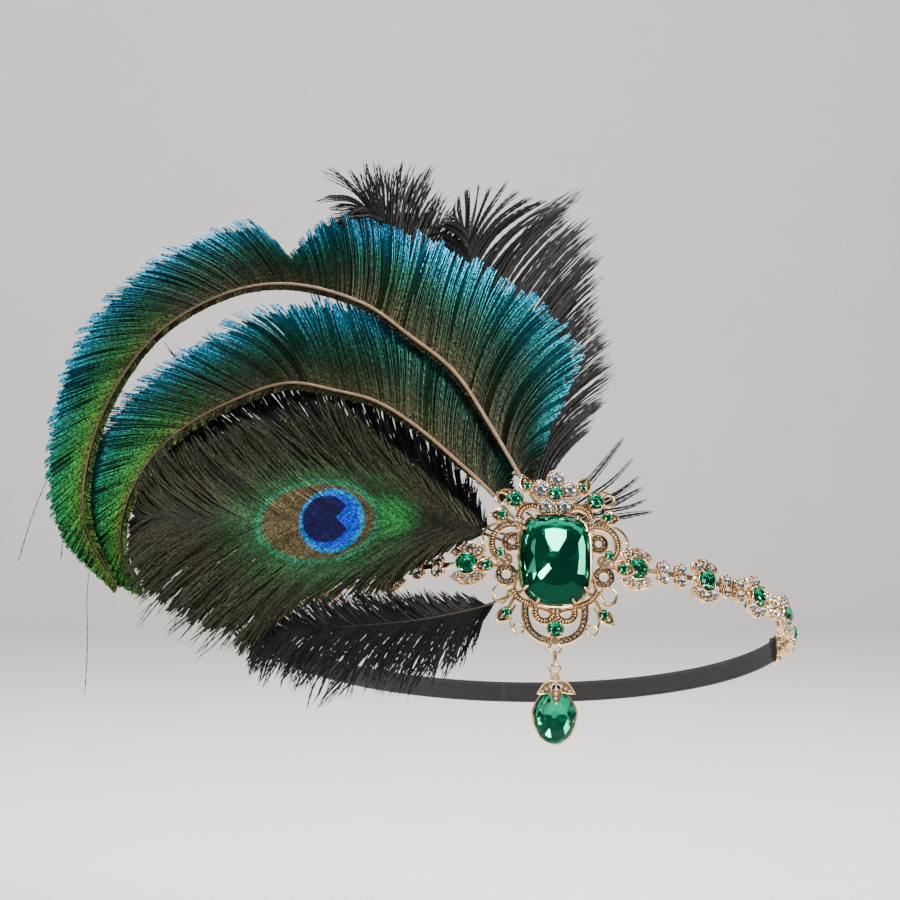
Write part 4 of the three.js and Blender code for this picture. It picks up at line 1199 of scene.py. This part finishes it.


# The large stone's cup: a low wall with a lip, eight claws and a back plate
def mainSetting():
    wide, high = brooch["stoneWidth"], brooch["stoneHeight"]
    outer = cushionOutline(wide + 1.6 * mm, high + 1.6 * mm, taper=brooch["taper"])
    inner = (wide + 0.5 * mm) / (wide + 1.6 * mm)
    wall = drawUp("mainCup", 64, [(0, 0.95, 0), (0.6 * mm, 1, 0), (2.1 * mm, 1, 0), (2.4 * mm, 0.98, 0),
                                  (2.45 * mm, inner, 0), (1.0 * mm, inner, 0)], outer)
    smoothBelow(wall, 35)
    post = clawPiece(0.5 * mm, brooch["girdle"] + 0.1 * mm, 1.5 * mm)
    places = []
    for degrees in (28, 62, 118, 152, 208, 242, 298, 332):
        x, y = cushionOutline(wide + 1.1 * mm, high + 1.1 * mm, taper=brooch["taper"])(math.radians(degrees))
        places.append(Matrix.Translation((x, y, 0)) @ Matrix.Rotation(math.atan2(y * 0.6, x), 4, "Z"))
    claws = stamp("mainClaws", post, places)
    discard(post)
    return [wall, claws]


# One stone's glass and foil, at its place
def stonePair(name, sides, radius, back, girdle, table, x, y):
    outline = roundOutline(radius)
    glass = glassStone(name + "Glass", sides, outline, back, girdle, table)
    return moved(glass, x, y), moved(foilBowl(name + "Foil", sides, outline, back, girdle), x, y)


# Seats: across, up, radius and girdle of each green stone
def buildStones(green):
    seats = {"middle": (0, brooch["flowerUp"], 2.15 * mm, 5.2 * mm),
             "cornerRight": (12.69 * mm, 19.56 * mm, 2.4 * mm, 3.6 * mm),
             "cornerLeft": (-12.69 * mm, 19.56 * mm, 2.4 * mm, 3.6 * mm),
             "tail": (0, -21.78 * mm, 2.3 * mm, 3.4 * mm)}
    cups, pairs = [], []
    for name, (x, y, radius, girdle) in seats.items():
        cups.append(moved(cupPiece(name + "Cup", radius, girdle, 4, floor=1 * mm), x, y))
        pairs.append(stonePair(name, 10, radius, girdle - 1.5 * mm, girdle, girdle + 1.1 * mm, x, y))
    for x, y, radius, back, girdle, table in green:
        pairs.append(stonePair("leaf", 8, radius, back, girdle, table, x, y))
    glasses, foils = zip(*pairs)
    radius, girdle = brooch["petalRadius"], brooch["petalGirdle"]
    cup = cupPiece("petalCup", radius, girdle, 5, floor=1 * mm, wall=0.22 * mm, claw=0.3 * mm, turn=90)
    glass, foil = stonePair("petal", 10, radius, girdle - 1.5 * mm, girdle, girdle + 1.2 * mm, 0, 0)
    places = []
    for i in range(5):
        angle = math.radians(90 - 72 * i)
        x, y = brooch["petalReach"] * math.cos(angle), brooch["petalReach"] * math.sin(angle)
        places.append(Matrix.Translation((x, brooch["flowerUp"] + y, 0))
                      @ Matrix.Rotation(math.radians(-72 * i), 4, "Z"))
    cups.append(stamp("petalCups", cup, places))
    clearGlass = stamp("flowerGlass", glass, places)
    clearFoil = stamp("flowerFoil", foil, places)
    discard(cup, glass, foil)
    return cups, list(glasses), list(foils), clearGlass, clearFoil


def mainStonePieces():
    outline = cushionOutline(brooch["stoneWidth"], brooch["stoneHeight"], taper=brooch["taper"])
    girdle, table = brooch["girdle"], brooch["girdle"] + brooch["crown"]
    glass = glassStone("mainGlass", 16, outline, 1.3 * mm, girdle, table, ((0.45, 0.86), (1, 0.64)))
    foil = foilBowl("mainFoil", 16, outline, 1.3 * mm, girdle, ((0.3, 0.8), (0.65, 0.5), (0.95, 0.2)))
    return glass, foil


def finishBrooch():
    metal, chips, green = buildBrooch()
    cups, glasses, foils, clearGlass, clearFoil = buildStones(green)
    for piece in metal + cups:
        if not piece.data.materials:
            setMaterial(piece, gold)
    casting = joinAll("broochCasting", metal + cups)
    smallGlass = joinAll("smallEmeralds", glasses)
    smallFoil = joinAll("smallEmeraldFoil", foils)
    mainGlass, mainFoil = mainStonePieces()
    applyPlace(casting, broochPlace)
    onBody(casting, "headband", "gold", "brooch_frame")
    for obj, material, slot, nodes in (
            (chips, crystalFoil, "crystal", []),
            (smallGlass, emeraldGlass, "emerald", ["stone_flower_middle", "stone_corner_right",
                                                   "stone_corner_left", "stone_tail"]),
            (smallFoil, emeraldFoil, "emerald", []),
            (mainGlass, emeraldGlass, "emerald", ["main_stone"]),
            (mainFoil, emeraldFoil, "emerald", []),
            (clearGlass, crystalGlass, "crystal",
             ["stone_flower_top", "stone_flower_right", "stone_flower_left",
                                                   "stone_flower_low_right", "stone_flower_low_left"]),
            (clearFoil, crystalFoil, "crystal", [])):
        setMaterial(obj, material)
        applyPlace(obj, broochPlace)
        onBody(obj, "headband", slot, *nodes)
    print("brooch made:", len(casting.data.polygons), "faces of metal")


finishBrooch()

# Chains: each piece is drawn flat, then turned to its place on the loop
chain = {
    "halos": 5,
    "haloPitch": 26.6 * mm,
    "firstHalo": 27.1 * mm,
    "haloRing": 5.2 * mm,
    "petalAngle": 38,
    "greenRadius": 3.35 * mm,
    "clearRadius": 1.5 * mm,
    "barRadius": 1.75 * mm,
    "barOffset": 9.95 * mm,
    "barSpacing": 6.7 * mm,
    "barUp": 1.8 * mm,
    "jointStart": 2.7 * mm,
    "jointRise": 1.05 * mm,
    "jointPieces": 3,
    "jointOverlap": 1.02,
    "cupHeight": 2.4 * mm,
    "hookPlace": 21.42 * mm,
    "hookRise": 2.6 * mm,
    "buckleNear": 153.4 * mm,
    "buckleFar": 156.2 * mm,
    "buckleInside": 8.6 * mm,
    "buckleBar": 1.2 * mm,
    "buckleRise": 0.9 * mm,
}
chainLine = chainBack + chain["cupHeight"]


def chainPlace(distance):
    return (loopPlace @ Matrix.Rotation(distance / chainLine, 4, "Z")
            @ Matrix.Translation((0, -chainBack, 0)) @ quarterTurn)


def buildChains():
    greenCup = cupPiece("haloCup", chain["greenRadius"], 3.3 * mm, 4, claw=0.4 * mm, wall=0.4 * mm)
    clearCup = cupPiece("clearCup", chain["clearRadius"], 2.4 * mm, 4, claw=0.26 * mm, wall=0.3 * mm)
    barCup = cupPiece("barCup", chain["barRadius"], 2.4 * mm, 4, claw=0.28 * mm, wall=0.3 * mm)
    greenGlass = glassStone("g", 10, roundOutline(chain["greenRadius"]), 1 * mm, 3.3 * mm, 4.3 * mm)
    greenFoil = foilBowl("f", 10, roundOutline(chain["greenRadius"]), 1 * mm, 3.3 * mm)
    clearGlass = glassStone("g", 8, roundOutline(chain["clearRadius"]), 0.9 * mm, 2.4 * mm, 3.2 * mm)
    clearFoil = foilBowl("f", 8, roundOutline(chain["clearRadius"]), 0.9 * mm, 2.4 * mm)
    scale = chain["barRadius"] / chain["clearRadius"]
    rail = sweep("rail", arcPath(0, 0, 6.75 * mm, 32, 148, 26, 1.6 * mm), roundSection(0.42 * mm))
    inner = sweep("innerRail", arcPath(0, 0, 5.2 * mm, 30, 150, 22, 0.8 * mm), roundSection(0.7 * mm, 6))
    rails = joinAll("rails", [rail, inner])
    startFresh()
    bpy.ops.mesh.primitive_cube_add(size=1)
    bar = bpy.context.object
    bar.scale = (1, 1.7 * mm, 1.1 * mm)
    applyPlace(bar)
    for way, nodeName in ((1, "chain_right"), (-1, "chain_left")):
        greens, clears, bars, arcs, joints = [], [], [], [], []
        for i in range(chain["halos"]):
            middle = chain["firstHalo"] + i * chain["haloPitch"]
            place = chainPlace(way * middle)
            greens.append(place)
            for half in (0, 180):
                turned = place @ Matrix.Rotation(math.radians(half), 4, "Z")
                arcs.append(turned)
                for step in (-1, 0, 1):
                    angle = math.radians(90 + step * chain["petalAngle"])
                    clears.append(turned @ Matrix.Translation((chain["haloRing"] * math.cos(angle),
                                                               chain["haloRing"] * math.sin(angle), 0)))
            for offset in (chain["barOffset"], chain["barOffset"] + chain["barSpacing"]):
                for up in (1, -1):
                    bars.append(chainPlace(way * (middle + offset))
                                @ Matrix.Translation((0, up * chain["barUp"], 0)))
            last = i + 1 == chain["halos"]
            end = chain["buckleNear"] if last else middle + chain["haloPitch"] - chain["jointStart"]
            start = middle + chain["jointStart"]
            step = (end - start) / chain["jointPieces"]
            for k in range(chain["jointPieces"]):
                joints.append(chainPlace(way * (start + (k + 0.5) * step))
                              @ Matrix.Translation((0, 0, chain["jointRise"]))
                              @ Matrix.Diagonal((step * chain["jointOverlap"], 1, 1, 1)))
        metal = [stamp(word, template, places) for word, template, places in (
            ("halos", greenCup, greens), ("petals", clearCup, clears), ("bars", barCup, bars),
            ("arcs", rails, arcs), ("joints", bar, joints))]
        hook = ringPiece("hook", 0, 0, 1.8 * mm, 0.45 * mm, chain["hookRise"])
        hook.data.transform(chainPlace(way * chain["hookPlace"]))
        metal += [hook, bucklePiece(way)]
        end = nodeName.removeprefix("chain")
        casting = joinAll("chainMetal" + end, metal)
        crystals = clears + [place @ Matrix.Diagonal((scale, scale, 1, 1)) for place in bars]
        for word, template, places, material, slot in (
                ("Emeralds", greenGlass, greens, emeraldGlass, "emerald"),
                ("EmeraldFoil", greenFoil, greens, emeraldFoil, "emerald"),
                ("Crystals", clearGlass, crystals, crystalGlass, "crystal"),
                ("CrystalFoil", clearFoil, crystals, crystalFoil, "crystal")):
            stones = stamp("chain" + word + end, template, places)
            setMaterial(stones, material)
            onBody(stones, "headband", slot)
        setMaterial(casting, gold)
        onBody(casting, "headband", "gold", nodeName)
        print(nodeName, len(casting.data.polygons), "faces of metal")
    discard(greenCup, clearCup, barCup, greenGlass, greenFoil, clearGlass, clearFoil, rails, bar)


def bucklePiece(way):
    near, far = chain["buckleNear"], chain["buckleFar"]
    corner = chain["buckleBar"] / 2
    high = chain["buckleInside"] / 2 + corner
    wide = (far - near) / 2
    path = []
    for x, y in ((-1, 1), (1, 1), (1, -1), (-1, -1)):
        cuts = [(x * wide, y * (high - corner)), (x * (wide - corner), y * high)]
        path += cuts if x * y < 0 else cuts[::-1]
    path = [(x, y, chain["buckleRise"]) for x, y in path]
    frameWire = sweep("buckle", path, roundSection(corner, 10), closed=True)
    frameWire.data.transform(chainPlace(way * (near + far) / 2))
    return frameWire


buildChains()

# Elastic: a ribbed woven strap, each end folded round the buckle's far bar
elastic = {"width": 8 * mm, "thickness": 1.6 * mm, "ribs": 9, "ribDepth": 0.22 * mm, "steps": 220}


def makeElasticWeave():
    look = {"dark": (0.003, 0.003, 0.003), "light": (0.016, 0.016, 0.017)}
    material, tree, shader = newMaterial("elasticWeave", Roughness=0.8, Sheen_Weight=0.08)
    weave = node(tree, "ShaderNodeUVMap", uv_map="weaveMap")
    threads = node(tree, "ShaderNodeTexWave", wave_type="BANDS", bands_direction="X")
    setInputs(threads, Scale=0.5, Distortion=1.2)
    tree.links.new(weave.outputs[0], threads.inputs["Vector"])
    marks = addGrain(tree, 2200, 0.5)
    height = calc(tree, "ADD", threads.outputs["Fac"], calc(tree, "MULTIPLY", marks.outputs["Mask"], 0.5))
    bump = node(tree, "ShaderNodeBump")
    setInputs(bump, Strength=0.6, Distance=0.3 * mm)
    tree.links.new(height, bump.inputs["Height"])
    tree.links.new(bump.outputs["Normal"], shader.inputs["Normal"])
    # Colour follows the weave's height: lighter on the raised threads, painted shade in the grooves
    tree.links.new(mixColour(tree, calc(tree, "MULTIPLY", height, 0.6), look["dark"], look["light"]),
                   shader.inputs["Base Color"])
    return material


def strapSection(width, thickness, outward):
    ribs = elastic["ribs"]
    count = ribs * 4
    edge = []
    for i in range(count + 1):
        share = i / count
        rise = abs(math.sin(math.pi * share * ribs)) * elastic["ribDepth"]
        rounded = 1 - (2 * share - 1) ** 8 * 0.6
        edge.append(((share - 0.5) * width, thickness / 2 * rounded - elastic["ribDepth"] + rise))
    return [(outward * b, a) for a, b in edge] + [(-outward * b, a) for a, b in reversed(edge)]


def buildElastic():
    radius = chainBack + chain["buckleRise"]
    start = chain["buckleFar"] / chainLine
    angles = np.linspace(start, 2 * math.pi - start, elastic["steps"])
    path = np.stack([radius * np.sin(angles), -radius * np.cos(angles), np.zeros(len(angles))], 1)
    strap = sweep("strap", path, strapSection(elastic["width"], elastic["thickness"], 1))
    pieces = [strap]
    for way in (1, -1):
        x, y = radius * math.sin(way * start), -radius * math.cos(way * start)
        circle = arcPath(x, y, 1.65 * mm, 0, 360 - 360 / 24, 24)
        pieces.append(sweep("fold", circle, strapSection(elastic["width"], 1.0 * mm, 1), closed=True))
    obj = joinAll("elasticStrap", pieces)
    places = np.array([vert.co for vert in obj.data.vertices])
    around = np.arctan2(places[:, 0], -places[:, 1]) * radius / mm
    weave = np.stack([np.abs(around) * 2.2, places[:, 2] / mm], 1)
    layer = obj.data.uv_layers.new(name="weaveMap")
    index = np.array([loop.vertex_index for loop in obj.data.loops])
    layer.data.foreach_set("uv", weave[index].astype(np.float32).ravel())
    obj.data.transform(loopPlace)
    setMaterial(obj, makeElasticWeave())
    onBody(obj, "headband", "elastic", "elastic_band")


buildElastic()

# Drop: a link, and a pear stone under a cap of three jewelled leaves
pendant = {
    "hang": (0.10 * mm, -101.32 * mm, 2.81 * mm),
    "linkTop": 1.05 * mm,
    "linkHeight": 5.1 * mm,
    "linkWidth": 2.6 * mm,
    "wire": 0.45 * mm,
    "ringMiddle": -4.6 * mm,
    "ringRadius": 1.6 * mm,
    "ringDepth": 3.65 * mm,
    "stoneMiddle": -18.25 * mm,
    "width": 13 * mm,
    "height": 18.2 * mm,
    "front": 6.0 * mm,
    "leafWidth": 3.7 * mm,
    "leafLength": 7.6 * mm,
    "spread": 60,
}


def buildDrop():
    hang = Matrix.Translation(pendant["hang"])
    bend = pendant["linkWidth"] / 2
    top, foot = pendant["linkTop"], pendant["linkTop"] - pendant["linkHeight"]
    path = []
    for i in range(32):
        angle = 2 * math.pi * (i + 0.5) / 32
        rise = top - bend if math.sin(angle) > 0 else foot + bend
        path.append((0, bend * math.cos(angle), rise + bend * math.sin(angle)))
    link = sweep("linkWire", path, roundSection(pendant["wire"]), closed=True, up=(1, 0, 0))
    setMaterial(link, gold)
    applyPlace(link, hang)
    onBody(link, "link", "gold", "drop_link")

    place = hang @ Matrix.Translation((0, pendant["ringDepth"], pendant["stoneMiddle"])) @ quarterTurn
    wide, high = pendant["width"], pendant["height"]
    outer = pearOutline(wide + 1.2 * mm, high + 1.2 * mm)
    inner = (wide + 0.3 * mm) / (wide + 1.2 * mm)
    wall = drawUp("dropWall", 48, [(0, 0.92, 0), (0.4 * mm, 0.97, 0), (2.4 * mm, 1, 0), (3.0 * mm, 1, 0),
                                   (3.1 * mm, inner, 0), (0.75 * mm, inner, 0)], outer)
    smoothBelow(wall, 35)
    metal = [wall]
    chip = chipPiece(0.62 * mm)
    chipPlaces = []
    seat = high / 2 + 1.0 * mm
    for tilt in (-pendant["spread"], 0, pendant["spread"]):
        leafPlace = (Matrix.Translation((0, seat, pendant["front"] + 0.3 * mm))
                     @ Matrix.Rotation(math.radians(tilt), 4, "Z") @ Matrix.Rotation(math.pi, 4, "Z"))
        metal.append(leafPiece(leafPlace @ Matrix.Translation((0, 1.2 * mm, 0)), pendant["leafWidth"],
                               pendant["leafLength"], 1.2 * mm))
        for step, size in ((0.4, 1.0), (1.9, 1.15), (3.4, 1.0), (4.8, 0.75)):
            chipPlaces.append(leafPlace @ Matrix.Translation((0, step * mm, 1.1 * mm))
                              @ Matrix.Scale(size, 4))
    neck = drawUp("neck", 16, [(0.4 * mm, 0.9, 0), (0.9 * mm, 1, 0), (6.9 * mm, 1, 0), (7.4 * mm, 0.85, 0)],
                  cushionOutline(2.4 * mm, 3.3 * mm, 0.7))
    metal.append(moved(neck, 0, high / 2 + 1.9 * mm))
    metal.append(ringPiece("dropRing", 0, pendant["ringMiddle"] - pendant["stoneMiddle"],
                           pendant["ringRadius"], pendant["wire"], pendant["ringDepth"]))
    for piece in metal:
        if not piece.data.materials:
            setMaterial(piece, gold)
    casting = joinAll("dropCasting", metal[1:] + metal[:1])
    chips = stamp("dropChips", chip, chipPlaces)
    discard(chip)
    outline = pearOutline(wide, high)
    girdle = 3.4 * mm
    glass = glassStone("dropGlass", 16, outline, 1 * mm, girdle, pendant["front"], ((0.45, 0.84), (1, 0.55)))
    foil = foilBowl("dropFoil", 16, outline, 1 * mm, girdle, ((0.3, 0.78), (0.65, 0.45), (0.95, 0.15)))
    applyPlace(casting, place)
    onBody(casting, "drop", "gold", "drop_setting")
    for obj, material, slot, nodes in ((chips, crystalFoil, "crystal", []),
                                       (glass, emeraldGlass, "emerald", ["drop_stone"]),
                                       (foil, emeraldFoil, "emerald", [])):
        setMaterial(obj, material)
        applyPlace(obj, place)
        onBody(obj, "drop", slot, *nodes)
    print("drop made")


buildDrop()


# Stage, light and camera
def buildStage():
    look = {"floor": -0.135, "size": 4, "spread": 3, "wall": 3, "colour": (0.78, 0.765, 0.74), "bend": 0.35}
    startFresh()
    bpy.ops.mesh.primitive_plane_add(size=look["size"], location=(0, 0, look["floor"]))
    floor = bpy.context.object
    floor.name = "floor"
    bpy.ops.object.mode_set(mode="EDIT")
    shape = bmesh.from_edit_mesh(floor.data)
    bpy.ops.mesh.select_all(action="DESELECT")
    for edge in shape.edges:
        if all(vert.co.y > 0 for vert in edge.verts):
            edge.select_set(True)
    for vert in shape.verts:
        vert.co.x *= look["spread"]
        if vert.co.y < 0:
            vert.co.y *= look["spread"]
    bmesh.update_edit_mesh(floor.data)
    bpy.ops.mesh.extrude_region_move(TRANSFORM_OT_translate={"value": (0, 0, look["wall"])})
    bpy.ops.object.mode_set(mode="OBJECT")
    bend = floor.modifiers.new("bend", "BEVEL")
    bend.width = look["bend"]
    bend.segments = 24
    bend.limit_method = "ANGLE"
    selectOnly(floor)
    bpy.ops.object.modifier_apply(modifier="bend")
    bpy.ops.object.shade_smooth()
    applyPlace(floor)
    material, tree, shader = newMaterial("paleFloor", Roughness=0.7)
    marks = addGrain(tree, 30, 0.05)
    worn = tuple(0.94 * c for c in look["colour"])
    tree.links.new(mixColour(tree, marks.outputs["Mask"], worn, look["colour"]), shader.inputs["Base Color"])
    setMaterial(floor, material)


def addLight(name, place, aim, size, power, colour=(1, 1, 1)):
    data = bpy.data.lights.new(name, "AREA")
    data.energy = power
    data.size = size
    data.color = colour
    light = addObject(name, data)
    light.location = place
    light.rotation_euler = (Vector(aim) - Vector(place)).to_track_quat("-Z", "Y").to_euler()


def buildLights():
    aim = (-0.03, -0.08, 0.02)
    addLight("keyLight", (0.55, -0.7, 0.75), aim, 0.28, 22, (1, 0.96, 0.9))
    addLight("fillLight", (-0.9, -0.6, 0.45), aim, 0.5, 8, (0.93, 0.97, 1))
    addLight("topLight", (-0.1, 0.35, 0.95), aim, 0.45, 20)
    addLight("frontLight", (0.15, -1.1, 0.25), aim, 0.2, 3.5)
    addLight("backdropLight", (0, 0.4, 1.3), (0, 1.9, 0.3), 1.2, 26)
    world = bpy.data.worlds.new("studio")
    bpy.context.scene.world = world
    world.use_nodes = True
    world.node_tree.nodes["Background"].inputs[0].default_value = (0.78, 0.82, 0.88, 1)
    world.node_tree.nodes["Background"].inputs[1].default_value = 0.16


def buildCamera():
    view = {"place": (-0.0667, -0.7482, 0.0654), "turn": -3.07, "lens": 85, "sensor": 36}
    data = bpy.data.cameras.new("camera")
    data.lens = view["lens"]
    data.sensor_width = view["sensor"]
    camera = addObject("camera", data)
    camera.location = view["place"]
    camera.rotation_euler = (math.radians(90), 0, math.radians(view["turn"]))
    bpy.context.scene.camera = camera


buildStage()
buildLights()
buildCamera()
print("stage set")
